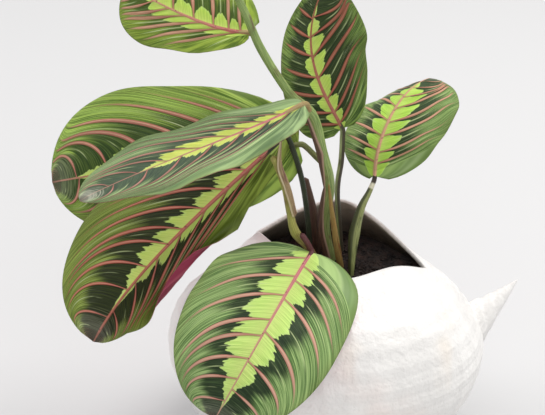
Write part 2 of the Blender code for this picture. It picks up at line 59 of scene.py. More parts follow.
def aim(holder, target):
    step = [t - p for t, p in zip(target, holder.location)]
    flat = math.hypot(step[0], step[1])
    holder.rotation_euler = (math.atan2(flat, -step[2]), 0.0, math.atan2(-step[0], step[1]))


camera = bpy.data.objects.new("camera", bpy.data.cameras.new("camera"))
bpy.context.scene.collection.objects.link(camera)
camera.data.lens, camera.data.sensor_width = 100.0, 36.0
camera.location = (VIEW_TARGET[0], VIEW_TARGET[1] - VIEW_DISTANCE * math.cos(VIEW_RISE),
                   VIEW_TARGET[2] + VIEW_DISTANCE * math.sin(VIEW_RISE))
camera.rotation_euler = (math.pi / 2 - VIEW_RISE, 0.0, 0.0)
bpy.context.scene.camera = camera

add_light("window", (0.55, 0.30, 1.25), (0.0, 0.0, 0.1), 1.1, 14.0, (1.0, 0.985, 0.96))
add_light("back_window", (-0.9, 0.35, 1.1), (0.0, 0.0, 0.1), 1.1, 7.4, (1.0, 0.99, 0.98))
add_light("room", (0.3, -1.2, 0.8), (0.0, 0.0, 0.1), 1.4, 4.2, (1.0, 0.99, 0.97))

sky = bpy.data.worlds.new("room_light")
sky.use_nodes = True
sky.node_tree.nodes["Background"].inputs["Color"].default_value = (0.95, 0.95, 0.94, 1.0)
sky.node_tree.nodes["Background"].inputs["Strength"].default_value = 0.63
bpy.context.scene.world = sky
bpy.context.scene.view_settings.view_transform = "Standard"


def blank_material(name):
    made = bpy.data.materials.new(name)
    made.use_nodes = True
    return made, made.node_tree, made.node_tree.nodes["Principled BSDF"]


def new_mesh(name, points, faces, surfaces, smooth=True):
    """A mesh object made from points in millimetres."""
    mesh = bpy.data.meshes.new(name)
    mesh.from_pydata((np.asarray(points, float) * MM).tolist(), [], [list(map(int, f)) for f in faces])
    mesh.polygons.foreach_set("use_smooth", [smooth] * len(mesh.polygons))
    for surface in surfaces:
        mesh.materials.append(surface)
    made = bpy.data.objects.new(name, mesh)
    bpy.context.scene.collection.objects.link(made)
    return made


table_paint, _, table_shader = blank_material("pale_table")
table_shader.inputs["Base Color"].default_value = (0.59, 0.59, 0.60, 1.0)
table_shader.inputs["Roughness"].default_value = 0.7
table = new_mesh("table", [(-3000, -3000, 0), (3000, -3000, 0), (3000, 3000, 0), (-3000, 3000, 0)],
                 [(0, 1, 2, 3)], [table_paint])


# Shell pot. One big sea snail's shell, bleached white, with a faint pink and orange blush. Thin at
# its waved lip, with low spiral cords and growth lines, and its pointed spire leaning out at the right.
BASE, BELLY = (31.0, 27.0), (70.0, 60.0)
FLANK_SHARE, FLANK_Z, BELLY_Z = 0.80, 13.0, 45.0
SHOULDER_SHARE, SHOULDER_RISE = (0.84, 0.77), (0.83, 0.70)
MOUTH_RIGHT, MOUTH_LEFT = (43.0, -2.0, 85.0), (-31.0, 13.0, 95.0)
MOUTH_BACK = ((36.5, 5.0, 90.0), (22.0, 23.5, 96.0), (7.0, 34.0, 100.0), (-12.0, 27.0, 99.0))
MOUTH_FRONT = ((-23.5, 4.5, 93.5), (-10.0, -15.0, 93.0), (6.0, -23.0, 92.0), (28.0, -10.0, 90.5))
MOUTH_TURN = (-3.0, 157.0)
WALL_LIP, WALL_BELLY, LIP_ROUND, FLOOR = 1.8, 3.2, 0.7, 4.0
SPIRE_ANGLE, SPIRE_LEVEL, SPIRE_RADIUS, SPIRE_FLARE = 8.0, 0.55, 10.0, 1.2
SPIRE_LEAN, SPIRE_TURNS, SPIRE_STEP = (17.0, 5.0, 20.0), 2.5, 0.10
SHELL_SIDES, SHELL_ROWS, INNER_ROWS = 300, 130, 30
CORD_RISE, GROWTH_RISE = 0.22, 0.16


def smooth_path(points, count):
    """Evenly spaced places on a smooth curve through the points."""
    points = np.asarray(points, float)
    ends = np.vstack([2 * points[0] - points[1], points, 2 * points[-1] - points[-2]])
    fine = []
    for a, b, c, d in zip(ends, ends[1:], ends[2:], ends[3:]):
        u = np.linspace(0, 1, 24, endpoint=False)[:, None]
        fine.append(0.5 * (2 * b + (c - a) * u + (2 * a - 5 * b + 4 * c - d) * u**2
                           + (3 * b - a - 3 * c + d) * u**3))
    fine = np.vstack([*fine, points[-1:]])
    length = np.r_[0, np.cumsum(np.linalg.norm(np.diff(fine, axis=0), axis=1))]
    at = np.linspace(0, length[-1], count)
    return np.stack([np.interp(at, length, fine[:, k]) for k in range(3)], 1)


MOUTH_EDGE = np.vstack([smooth_path((MOUTH_RIGHT, *MOUTH_BACK, MOUTH_LEFT), 101),
                        smooth_path((MOUTH_LEFT, *MOUTH_FRONT, MOUTH_RIGHT), 101)[1:]])


def mouth_edge(share):
    at = np.linspace(0, 1, 201)
    return np.stack([np.interp(share % 1.0, at, MOUTH_EDGE[:, k]) for k in range(3)], -1)


def shell_point(share, level):
    """Outer surface of the shell: share runs round it, level from its foot (0) to its lip (1)."""
    share, level = np.broadcast_arrays(np.asarray(share, float), np.asarray(level, float))
    right, left = MOUTH_TURN
    turn = np.radians(np.interp(share, (-0.5, 0.0, 0.5, 1.0, 1.5), (left - 360, right, left, right + 360, left + 360)))
    edge = mouth_edge(share)
    ring = np.stack([np.cos(turn), np.sin(turn)], -1)

    def level_ring(sizes, height):
        return np.concatenate([ring * sizes, np.broadcast_to(height, turn.shape)[..., None]], -1)

    belly = np.array(BELLY)
    back = np.clip(1.6 * np.sin(turn), 0, 1)
    shoulder = SHOULDER_SHARE[0] + (SHOULDER_SHARE[1] - SHOULDER_SHARE[0]) * back
    rise = SHOULDER_RISE[0] + (SHOULDER_RISE[1] - SHOULDER_RISE[0]) * back
    knots = [
        level_ring(BASE, 0.0),
        level_ring(FLANK_SHARE * belly, FLANK_Z),
        level_ring(belly, BELLY_Z),
        level_ring(shoulder[..., None] * belly, rise * edge[..., 2]),
        edge,
    ]
    knots = [1.5 * knots[0] - 0.5 * knots[1] * (1, 1, 0), *knots, 1.4 * knots[4] - 0.4 * knots[3]]
    knots = np.stack(knots, 0)
    at = np.clip(level, 0, 1) * 4
    first = np.minimum(at.astype(int), 3)
    u = (at - first)[..., None]
    a, b, c, d = (np.take_along_axis(knots, (first + k)[None, ..., None], 0)[0] for k in range(4))
    return 0.5 * (2 * b + (c - a) * u + (2 * a - 5 * b + 4 * c - d) * u**2
                  + (3 * b - a - 3 * c + d) * u**3)


def shell_normal(share, level):
    small = 0.004
    level = np.clip(level, small, 1 - small)
    around = shell_point(share + small, level) - shell_point(share - small, level)
    up = shell_point(share, level + small) - shell_point(share, level - small)
    outwards = np.cross(around, up)
    return outwards / np.linalg.norm(outwards, axis=-1, keepdims=True)


def shell_inside(share, level, extra=0.0):
    depth = np.interp(level, (0.0, 0.7, 1.0), (WALL_BELLY, WALL_BELLY, WALL_LIP)) + extra
    inside = shell_point(share, level) - shell_normal(share, level) * depth[..., None]
    inside[..., 2] = np.maximum(inside[..., 2], FLOOR + extra)
    return inside


def spire_share():
    return (SPIRE_ANGLE - MOUTH_TURN[0]) / (MOUTH_TURN[1] - MOUTH_TURN[0]) / 2


def spire_lift(share, level):
    """How far towards the spire's tip a place of the shell's surface is drawn, from 0 to 1."""
    small = 0.01
    middle = spire_share()
    centre = shell_point(middle, SPIRE_LEVEL)
    wide = np.linalg.norm(shell_point(middle + small, SPIRE_LEVEL) - centre) / small
    tall = np.linalg.norm(shell_point(middle, SPIRE_LEVEL + small) - centre) / small
    across = ((share - middle + 0.5) % 1.0 - 0.5) * wide / SPIRE_RADIUS
    upward = (level - SPIRE_LEVEL) * tall / SPIRE_RADIUS
    far = np.hypot(across, upward)
    turn = np.arctan2(upward, across)
    phase = SPIRE_TURNS * np.log(np.maximum(far, 0.03)) - turn / (2 * math.pi)
    far = far / (1 + SPIRE_STEP * np.abs(np.sin(math.pi * phase)) * (far < 0.95))
    return np.clip(1 - far, 0, 1) ** SPIRE_FLARE


def waves(*values):
    """A smooth uneven wave between -1 and 1 that depends on the values."""
    first, second = values
    return (np.sin(first + 0.7 * np.sin(1.3 * second)) + 0.6 * np.sin(1.73 * first + 1.1 * second + 1.0)
            + 0.4 * np.sin(2.9 * first - 1.7 * second + 2.0)) / 2.0


def dense_near(middle, count, reach, share):
    """Places from 0 to 1 of which more lie near the middle."""
    at = np.linspace(0, 1, 2001)
    weight = 1 + share * np.exp(-(((at - middle + 0.5) % 1.0 - 0.5) / reach) ** 2)
    total = np.r_[0, np.cumsum(weight[1:] + weight[:-1])]
    return np.interp(np.linspace(0, total[-1], count), total, at)


def ring_faces(rings, sides):
    faces = []
    for i in range(rings - 1):
        for j in range(sides):
            k = (j + 1) % sides
            faces.append((i * sides + j, i * sides + k, (i + 1) * sides + k, (i + 1) * sides + j))
    return faces


def shell_mesh():
    share = dense_near(spire_share(), SHELL_SIDES + 1, 0.03, 2.5)[:-1]
    level = dense_near(SPIRE_LEVEL, SHELL_ROWS, 0.09, 1.5)
    shares, levels = np.meshgrid(share, level)
    outer = shell_point(shares, levels)
    normal = shell_normal(shares, levels)
    cords = CORD_RISE * np.sin(2 * math.pi * 15 * levels + 2.5 * shares) ** 3
    growth = GROWTH_RISE * waves(2 * math.pi * 40 * shares, 3 * levels)
    folds = 0.5 * waves(2 * math.pi * 6 * shares, 5.0 * levels)
    fade = np.clip(levels / 0.08, 0, 1) * np.clip((1 - levels) / 0.06, 0, 1)
    outer = outer + normal * ((cords + growth + folds) * fade)[..., None]
    outer = outer + spire_lift(shares, levels)[..., None] * np.array(SPIRE_LEAN)
    outer[0, :, 2] = 0.0
    inner_level = np.linspace(1, 1 / 10, INNER_ROWS)
    inner = [shell_inside(share, np.full_like(share, v)) for v in inner_level]
    lip = (outer[-1] + inner[0]) / 2
    lip[:, 2] += LIP_ROUND
    near_lip = [outer[-1] * 0.85 + lip * 0.15 + (0, 0, 0.3), lip, inner[0] * 0.85 + lip * 0.15 + (0, 0, 0.3)]
    inner[-1][:, 2] = FLOOR
    rings = np.vstack([outer.reshape(-1, 3), *near_lip, *inner])
    count = len(level) + 3 + len(inner)
    sides = len(share)
    faces = ring_faces(count, sides)
    faces.append(tuple(range(sides))[::-1])
    faces.append(tuple(range((count - 1) * sides, count * sides)))
    inside = np.repeat(np.r_[np.zeros(len(level)), 0.1, 0.35, 0.7, np.ones(len(inner))], sides)
    return rings, faces, inside


def link_or_set(tree, socket, value):
    if isinstance(value, bpy.types.NodeSocket):
        tree.links.new(value, socket)
    elif isinstance(value, tuple) and len(value) == 3 and socket.type == "RGBA":
        socket.default_value = (*value, 1.0)
    else:
        socket.default_value = value


def calc(tree, operation, *values, clamp=False):
    """A Math node's value."""
    node = tree.nodes.new("ShaderNodeMath")
    node.operation = operation
    node.use_clamp = clamp
    for socket, value in zip(node.inputs, values):
        link_or_set(tree, socket, value)
    return node.outputs[0]


def ramp(tree, value, low, high, to_low=0.0, to_high=1.0):
    """A smooth step of value between low and high."""
    node = tree.nodes.new("ShaderNodeMapRange")
    node.interpolation_type = "SMOOTHSTEP"
    for socket, given in zip(node.inputs, (value, low, high, to_low, to_high)):
        link_or_set(tree, socket, given)
    return node.outputs[0]


def blend(tree, factor, first, second):
    """A mix of two colours."""
    node = tree.nodes.new("ShaderNodeMix")
    node.data_type = "RGBA"
    link_or_set(tree, node.inputs["Factor"], factor)
    link_or_set(tree, node.inputs["A"], first)
    link_or_set(tree, node.inputs["B"], second)
    return node.outputs["Result"]


def noise(tree, place, scale, detail=3.0, rough=0.55):
    node = tree.nodes.new("ShaderNodeTexNoise")
    link_or_set(tree, node.inputs["Vector"], place)
    node.inputs["Scale"].default_value = scale
    node.inputs["Detail"].default_value = detail
    node.inputs["Roughness"].default_value = rough
    return node.outputs["Fac"]


def stretch(tree, place, sizes):
    node = tree.nodes.new("ShaderNodeVectorMath")
    node.operation = "MULTIPLY"
    link_or_set(tree, node.inputs[0], place)
    node.inputs[1].default_value = sizes
    return node.outputs[0]


def own_place(tree):
    return tree.nodes.new("ShaderNodeTexCoord").outputs["Object"]


def mark(tree, name):
    """A value or vector that the mesh carries at its points."""
    node = tree.nodes.new("ShaderNodeAttribute")
    node.attribute_name = name
    return node


def carry(thing, name, values):
    """Writes a value or vector to each point of the mesh."""
    values = np.asarray(values, float)
    kind = "FLOAT" if values.ndim == 1 else "FLOAT_VECTOR"
    made = thing.data.attributes.new(name, kind, "POINT")
    made.data.foreach_set("value" if values.ndim == 1 else "vector", values.ravel())


def bump(tree, shader, height, distance):
    node = tree.nodes.new("ShaderNodeBump")
    node.inputs["Distance"].default_value = distance
    link_or_set(tree, node.inputs["Height"], height)
    tree.links.new(node.outputs["Normal"], shader.inputs["Normal"])


def shell_material():
    made, tree, shader = blank_material("bleached_shell")
    place = own_place(tree)
    tall = stretch(tree, place, (90.0, 90.0, 9.0))
    lines = noise(tree, tall, 1.0, 4.0)
    cloud = noise(tree, place, 22.0, 3.0)
    second_cloud = noise(tree, stretch(tree, place, (1.0, 1.0, 0.6)), 37.0, 2.0)
    chalk = blend(tree, ramp(tree, lines, 0.35, 0.65), (0.80, 0.785, 0.77), (0.87, 0.855, 0.84))
    blush = blend(tree, ramp(tree, cloud, 0.52, 0.70, 0.0, 0.55), chalk, (0.84, 0.73, 0.69))
    warm = blend(tree, ramp(tree, second_cloud, 0.58, 0.74, 0.0, 0.4), blush, (0.85, 0.75, 0.64))
    inside = mark(tree, "inside").outputs["Fac"]
    height = tree.nodes.new("ShaderNodeSeparateXYZ")
    link_or_set(tree, height.inputs[0], place)
    # Inner wall: partly soil stain and partly painted shade of the hollow. It is brown-grey, and painted darkest just
    # above the soil where the shade is deepest.
    stain_and_shade = blend(tree, ramp(tree, height.outputs["Z"], 0.082, 0.100), (0.06, 0.046, 0.034), (0.36, 0.31, 0.25))
    mottled_stain_and_shade = blend(tree, ramp(tree, noise(tree, place, 140.0), 0.4, 0.7, 0.0, 0.5), stain_and_shade, (0.20, 0.16, 0.12))
    colour = blend(tree, inside, warm, mottled_stain_and_shade)
    tree.links.new(colour, shader.inputs["Base Color"])
    tree.links.new(ramp(tree, cloud, 0.3, 0.7, 0.42, 0.6), shader.inputs["Roughness"])
    shader.inputs["Coat Weight"].default_value = 0.15
    shader.inputs["Coat Roughness"].default_value = 0.25
    bump(tree, shader, calc(tree, "ADD", lines, noise(tree, place, 400.0, 2.0)), 0.0006)
    return made


shell_points, shell_faces, shell_in = shell_mesh()
shell_pot = new_mesh("shell_pot_fine", shell_points, shell_faces, [shell_material()])
carry(shell_pot, "inside", shell_in)
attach(shell_pot, "root")
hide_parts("shell_pot")


# Soil. Dark, damp potting soil that fills the shell to a little under its lip, crumbly and uneven,
# with a low mound round the stems and loose crumbs of bark and peat on top.
SOIL_Z, SOIL_GAP, SOIL_LUMP, SOIL_MOUND = 82.0, 0.5, 1.0, 2.0
SOIL_SIDES, SOIL_RINGS, CRUMBS = 160, 46, 420


def soil_height(x, y):
    lumps = np.sin(x / 3.1 + 1.0) * np.cos(y / 2.7) + 0.6 * np.sin(x / 1.9 - y / 2.3 + 0.5)
    mound = np.exp(-((x - 1.0) ** 2 + (y - 6.0) ** 2) / 300.0)
    return SOIL_LUMP * lumps / 1.6 + SOIL_MOUND * mound


def soil_edge():
    share = np.linspace(0, 1, SOIL_SIDES, endpoint=False)
    levels = np.linspace(0.1, 1.0, 60)
    rings = np.stack([shell_inside(share, np.full_like(share, v), SOIL_GAP) for v in levels], 1)
    edge = [[np.interp(SOIL_Z, ring[:, 2], ring[:, k]) for k in range(3)] for ring in rings]
    return np.array(edge), rings[:, ::6]


def crumb(centre, size, rng):
    """One loose crumb: a lumpy eight-cornered grain."""
    corners = np.array([(x, y, z) for x in (-1, 1) for y in (-1, 1) for z in (-1, 1)], float)
    corners = corners * rng.uniform(0.5, 1.0, (8, 3)) * size * rng.uniform(0.6, 1.2, 3)
    turn = rng.uniform(0, math.pi)
    cos, sin = math.cos(turn), math.sin(turn)
    turned = np.stack([corners[:, 0] * cos - corners[:, 1] * sin,
                       corners[:, 0] * sin + corners[:, 1] * cos, corners[:, 2]], 1)
    faces = [(0, 1, 3, 2), (4, 6, 7, 5), (0, 4, 5, 1), (2, 3, 7, 6), (0, 2, 6, 4), (1, 5, 7, 3)]
    return turned + centre, faces


def soil_mesh():
    rng = np.random.default_rng(5)
    edge, sides = soil_edge()
    middle = edge.mean(0)
    below = [ring for ring in np.swapaxes(sides, 0, 1) if ring[:, 2].max() < SOIL_Z - 1]
    rings = [*below, edge]
    for part in np.linspace(1, 0, SOIL_RINGS + 1)[1:-1]:
        ring = middle + (edge - middle) * part
        fine = 0.5 * waves(ring[:, 0] * 2.1, ring[:, 1] * 2.3) + rng.normal(0, 0.16, len(ring))
        ring[:, 2] = SOIL_Z + (soil_height(ring[:, 0], ring[:, 1]) + fine) * min(1.0, 6 * (1 - part))
        rings.append(ring)
    count = len(rings)
    faces = ring_faces(count, SOIL_SIDES)
    faces.append(tuple(range(SOIL_SIDES))[::-1])
    faces.append(tuple(range((count - 1) * SOIL_SIDES, count * SOIL_SIDES)))
    points = [np.vstack(rings)]
    total = len(points[0])
    for _ in range(CRUMBS):
        near = edge[rng.integers(SOIL_SIDES)]
        x, y, _ = middle + (near - middle) * 0.93 * math.sqrt(rng.uniform(0, 1))
        size = rng.uniform(0.35, 1.1)
        top = SOIL_Z + float(soil_height(x, y)) + 0.2 * size
        corners, sides = crumb(np.array([x, y, top]), size, rng)
        points.append(corners)
        faces += [tuple(i + total for i in f) for f in sides]
        total += 8
    return np.vstack(points), faces


def soil_material():
    made, tree, shader = blank_material("potting_soil")
    place = own_place(tree)
    grain = noise(tree, place, 260.0, 5.0, 0.7)
    patch = noise(tree, place, 60.0, 3.0)
    peat = blend(tree, ramp(tree, grain, 0.35, 0.7), (0.008, 0.005, 0.005), (0.038, 0.022, 0.017))
    bark = blend(tree, ramp(tree, patch, 0.55, 0.72, 0.0, 0.6), peat, (0.075, 0.034, 0.024))
    tree.links.new(bark, shader.inputs["Base Color"])
    shader.inputs["Roughness"].default_value = 0.95
    bump(tree, shader, grain, 0.002)
    return made


soil_points, soil_faces = soil_mesh()
soil = new_mesh("soil_fine", soil_points, soil_faces, [soil_material()], smooth=False)
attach(soil, "root")
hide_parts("soil")


# Stems. The long main stem arches up to the left, with the old sheaths that clasp it, the front
# stalk carries a dry sheath, and three thinner sheaths or stubs stand between them. Fleshy, ribbed.
GREEN_STEM = ((0.13, 0.22, 0.05), (0.36, 0.46, 0.16), (0.13, 0.05, 0.035))
OLIVE_STALK = ((0.26, 0.25, 0.05), (0.52, 0.50, 0.15), (0.16, 0.06, 0.04))
MAIN_STEM = ((1.3, 9.0, 84.0), (-1.6, 8.0, 101.6), (0.3, 5.0, 122.0), (-3.3, 2.0, 140.2),
             (-7.8, -0.6, 157.7), (-17.0, -2.6, 168.0), (-28.4, -6.0, 188.4), (-34.4, -8.0, 204.0),
             (-39.5, -10.0, 216.0))
MAIN_RADIUS = (2.5, 2.4, 2.2, 2.1, 2.2, 1.8, 1.7, 1.6, 1.5)
FRONT_STALK = ((-4.5, 2.5, 84.0), (-8.8, -4.0, 96.9), (-14.4, -7.0, 105.9), (-16.6, -9.0, 115.7),
               (-19.2, -12.0, 130.0), (-22.6, -15.0, 142.0), (-23.8, -16.0, 146.2))
FRONT_RADIUS = (1.8, 1.7, 2.1, 1.5, 1.2, 1.1, 1.6)
BROWN_SHEATH = ((5.6, 1.6, 84.0), (4.4, 0.4, 91.2), (1.9, -0.4, 107.9), (-0.3, -0.2, 125.5))
BROWN_RADIUS = (1.4, 1.5, 1.2, 0.4)
STUB = ((-4.0, 16.0, 84.0), (-6.6, 14.5, 105.0), (-10.0, 13.5, 121.5))
STUB_RADIUS = (1.9, 2.0, 1.3)
STEM_FOOT = 14.0


def directions(path):
    step = np.gradient(path, axis=0)
    return step / np.linalg.norm(step, axis=1, keepdims=True)


def frames(path):
    """Two unit vectors across the path at each place, carried along it without twist."""
    along = directions(path)
    start = np.cross(along[0], (0.3, 1.0, 0.2))
    first = []
    for ahead in along:
        start = start - ahead * (start @ ahead)
        start = start / np.linalg.norm(start)
        first.append(start)
    first = np.array(first)
    return first, np.cross(along, first)


def rooted(points, radii):
    """The same stem with a straight foot below the soil's surface."""
    start = np.asarray(points[0], float)
    foot = [start - (0, 0, STEM_FOOT), start - (0, 0, STEM_FOOT / 2)]
    return [*foot, *points], [radii[0], radii[0], *radii]


def stem_mesh(points, radii, sides=20, spacing=1.2, ribs=7, rib_depth=0.05):
    """A fleshy stem with low lengthwise ribs, rounded off at its ends."""
    points = np.asarray(points, float)
    marks = np.r_[0, np.cumsum(np.linalg.norm(np.diff(points, axis=0), axis=1))]
    count = max(6, round(marks[-1] / spacing) + 1)
    path = smooth_path(points, count)
    at = np.linspace(0, marks[-1], count)
    radius = np.interp(at, marks, radii)
    ends = np.minimum(at, marks[-1] - at)
    radius = radius * np.sqrt(np.clip(1 - (1 - np.clip(ends / (0.8 * radius), 0, 1)) ** 2, 0.02, 1))
    first, second = frames(path)
    turn = np.arange(sides) * 2 * math.pi / sides
    ripple = 1 + rib_depth * np.cos(ribs * turn) + 0.02 * np.sin(at[:, None] / 4.0 + 2 * turn)
    reach = (radius[:, None] * ripple)[..., None]
    rings = path[:, None] + reach * (np.cos(turn)[:, None] * first[:, None] + np.sin(turn)[:, None] * second[:, None])
    faces = ring_faces(count, sides)
    faces.append(tuple(range(sides))[::-1])
    faces.append(tuple(range((count - 1) * sides, count * sides)))
    place = np.stack([np.repeat(at, sides), np.tile(turn, count), np.repeat(at / marks[-1], sides)], 1)
    return rings.reshape(-1, 3), faces, place


def sheath_mesh(path_points, radii, spans, facing, thick, steps=14):
    """A clasping sheath: a thin gutter of changing span round a stem, its back to facing."""
    marks = np.linspace(0, 1, len(path_points))
    count = 14 * len(path_points)
    path = smooth_path(path_points, count)
    at = np.linspace(0, 1, count)
    radius = np.interp(at, marks, radii)
    span = np.radians(np.interp(at, marks, spans))
    along = directions(path)
    front = np.asarray(facing, float) - along * (along @ np.asarray(facing, float))[:, None]
    front = front / np.linalg.norm(front, axis=1, keepdims=True)
    side = np.cross(along, front)
    share = np.linspace(-0.5, 0.5, steps)
    turn = span[:, None] * np.r_[share, share[::-1]]
    fibre = 0.12 * np.sin(9.0 * turn + 0.5 * np.sin(at[:, None] * 20))
    reach = radius[:, None] + np.r_[np.full(steps, 0.7), np.full(steps, 0.7 - thick)] + fibre
    rings = (path[:, None] + (reach * np.cos(turn))[..., None] * front[:, None]
             + (reach * np.sin(turn))[..., None] * side[:, None])
    sides = 2 * steps
    faces = ring_faces(count, sides)
    faces.append(tuple(range(sides))[::-1])
    faces.append(tuple(range((count - 1) * sides, count * sides)))
    place = np.stack([np.repeat(at * 30, sides), np.tile(turn[0] * 0 + np.r_[share, share[::-1]] * 6, count),
                      np.repeat(at, sides)], 1)
    return rings.reshape(-1, 3), faces, place


def join_parts(parts):
    """One set of points, faces, places and material numbers out of several."""
    points, faces, places, picks = [], [], [], []
    total = 0
    for (own, sides, place), pick in parts:
        points.append(own)
        faces += [tuple(int(i) + total for i in f) for f in sides]
        places.append(place)
        picks += [pick] * len(sides)
        total += len(own)
    return np.vstack(points), faces, np.vstack(places), picks


def fibre_group():
    """Lengthwise fibres of a stem or a dry sheath, from its own length and turn."""
    tree = bpy.data.node_groups.new("plant_fibres", "ShaderNodeTree")
    for name, kind in (("Place", "NodeSocketVector"), ("Fine", "NodeSocketFloat")):
        tree.interface.new_socket(name, in_out="INPUT", socket_type=kind)
    for name in ("Fibres", "Patches"):
        tree.interface.new_socket(name, in_out="OUTPUT", socket_type="NodeSocketFloat")
    given = tree.nodes.new("NodeGroupInput").outputs
    out = tree.nodes.new("NodeGroupOutput")
    scaled = tree.nodes.new("ShaderNodeVectorMath")
    scaled.operation = "MULTIPLY"
    tree.links.new(given["Place"], scaled.inputs[0])
    size = tree.nodes.new("ShaderNodeCombineXYZ")
    size.inputs["X"].default_value = 0.12
    tree.links.new(given["Fine"], size.inputs["Y"])
    tree.links.new(size.outputs[0], scaled.inputs[1])
    tree.links.new(noise(tree, scaled.outputs[0], 1.0, 4.0, 0.6), out.inputs["Fibres"])
    patches = noise(tree, stretch(tree, given["Place"], (0.09, 0.5, 0.0)), 1.0, 3.0)
    tree.links.new(patches, out.inputs["Patches"])
    return tree


FIBRES = fibre_group()


def fibre_material(name, colours, rough, fine=5.0, patch_low=0.5, foot=0.0, dark_side=None, margin=None,
                   collar=None):
    """A stem or sheath: dark and light fibres, and patches of a third colour, more at the foot.

    A stem can be dark on one side, given as a turn in degrees, and dark above a pale ring, its collar.
    A sheath can have light margins.
    """
    dark, light, patch = colours
    made, tree, shader = blank_material(name)
    place = mark(tree, "place").outputs["Vector"]
    group = tree.nodes.new("ShaderNodeGroup")
    group.node_tree = FIBRES
    tree.links.new(place, group.inputs["Place"])
    group.inputs["Fine"].default_value = fine
    fibres, patches = group.outputs["Fibres"], group.outputs["Patches"]
    colour = blend(tree, ramp(tree, fibres, 0.3, 0.7), dark, light)
    apart = tree.nodes.new("ShaderNodeSeparateXYZ")
    tree.links.new(place, apart.inputs[0])
    low = ramp(tree, apart.outputs["Z"], 0.55, 0.1, 0.0, foot)
    share = calc(tree, "ADD", ramp(tree, patches, patch_low, patch_low + 0.22), low, clamp=True)
    if dark_side is not None:
        facing = calc(tree, "COSINE", calc(tree, "SUBTRACT", apart.outputs["Y"], math.radians(dark_side)))
        share = calc(tree, "MAXIMUM", share, ramp(tree, facing, 0.1, 0.6))
    colour = blend(tree, calc(tree, "MULTIPLY", share, 0.9), colour, patch)
    if margin:
        colour = blend(tree, ramp(tree, calc(tree, "ABSOLUTE", apart.outputs["Y"]), 2.1, 2.6), colour, margin)
    if collar:
        colour = blend(tree, ramp(tree, apart.outputs["Z"], collar, collar + 0.01), colour, (0.05, 0.035, 0.025))
        ring = calc(tree, "ABSOLUTE", calc(tree, "SUBTRACT", apart.outputs["Z"], collar))
        colour = blend(tree, ramp(tree, ring, 0.022, 0.010), colour, (0.70, 0.66, 0.50))
    tree.links.new(colour, shader.inputs["Base Color"])
    shader.inputs["Roughness"].default_value = rough
    bump(tree, shader, fibres, 0.0004)
    return made


def add_stem(name, parts, surfaces, node):
    points, faces, places, picks = join_parts(parts)
    made = new_mesh(name, points, faces, surfaces)
    made.data.polygons.foreach_set("material_index", picks)
    carry(made, "place", places)
    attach(made, "root")
    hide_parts(node)
    return made


stem_skin = fibre_material("green_stem_skin", GREEN_STEM, 0.42, 5.0, 0.56, 0.25)
# The clasping sheaths' own brown is darkened further here as painted shade among the stems at the foot. Their light
# margins are their own colour.
clasp_skin = fibre_material("clasping_sheath", ((0.07, 0.035, 0.025), (0.20, 0.11, 0.07), (0.06, 0.018, 0.02)), 0.55,
                            margin=(0.42, 0.27, 0.20))
stalk_skin = fibre_material("olive_stalk_skin", OLIVE_STALK, 0.5, 6.0, 0.52, 0.5)
main_points, main_radii = rooted(MAIN_STEM, MAIN_RADIUS)
add_stem("main_stem_fine", [
    (stem_mesh(main_points, main_radii), 0),
    (sheath_mesh(MAIN_STEM[0:3], (2.3, 2.1, 1.9), (150, 120, 30), (-1.0, -0.5, 0), 2.0), 1),
    (sheath_mesh(MAIN_STEM[2:5], (2.0, 1.9, 2.0), (40, 170, 60), (-1.0, -0.3, 0), 2.0), 1),
], [stem_skin, clasp_skin], "main_stem")
front_points, front_radii = rooted(FRONT_STALK, FRONT_RADIUS)
add_stem("front_stalk_fine", [(stem_mesh(front_points, front_radii), 0)], [stalk_skin], "front_stalk")
dry_skin = fibre_material("dry_sheath_skin", ((0.20, 0.12, 0.06), (0.50, 0.38, 0.20), (0.15, 0.05, 0.045)), 0.8, 9.0,
                          margin=(0.66, 0.55, 0.36))
dry_gap = [r + 0.7 for r in FRONT_RADIUS]
dry_path = (*FRONT_STALK[3:6], (-22.0, -18.0, 155.5))
dry_sheath = sheath_mesh(dry_path, (dry_gap[3], dry_gap[4], dry_gap[5], 1.0), (110, 150, 130, 50), (1.0, -0.25, 0.2), 0.7)
add_stem("dry_sheath_fine", [(dry_sheath, 0)], [dry_skin], "dry_sheath")
brown_skin = fibre_material("brown_sheath_skin", ((0.17, 0.11, 0.03), (0.46, 0.30, 0.08), (0.24, 0.07, 0.02)), 0.6, 6.0)
brown_points, brown_radii = rooted(BROWN_SHEATH, BROWN_RADIUS)
add_stem("brown_sheath_fine", [(stem_mesh(brown_points, brown_radii, 14), 0)], [brown_skin], "brown_sheath")
stub_skin = fibre_material("stub_skin", ((0.06, 0.035, 0.025), (0.15, 0.075, 0.05), (0.09, 0.025, 0.035)), 0.6, 6.0)
stub_points, stub_radii = rooted(STUB, STUB_RADIUS)
add_stem("stub_fine", [(stem_mesh(stub_points, stub_radii, 14), 0)], [stub_skin], "stub")


# Young leaf. It is still rolled up tight, pale green, and stands on the top of the main stem. The
# outer edge of the roll winds round it as a low step.
ROLLED_LEAF = ((-39.8, -10.2, 216.8), (-42.0, -11.4, 226.0), (-44.5, -13.0, 238.0),
               (-46.5, -15.0, 250.0), (-47.5, -16.5, 262.0))
ROLLED_RADIUS = (1.5, 2.6, 3.1, 2.3, 0.5)


def rolled_mesh(sides=40, spacing=0.7, turns=0.6, step=0.45):
    rings, faces, place = stem_mesh(ROLLED_LEAF, ROLLED_RADIUS, sides, spacing, 0, 0.0)
    count = len(rings) // sides
    path = rings.reshape(count, sides, 3).mean(1)
    turn = np.tile(np.arange(sides) / sides, count)
    far = np.repeat(np.linspace(0, 1, count), sides)
    edge = (turn - turns * far) % 1.0
    outward = rings - np.repeat(path, sides, 0)
    scale = 1 - step * edge * np.sin(math.pi * far) / 3.0
    return np.repeat(path, sides, 0) + outward * scale[:, None], faces, place


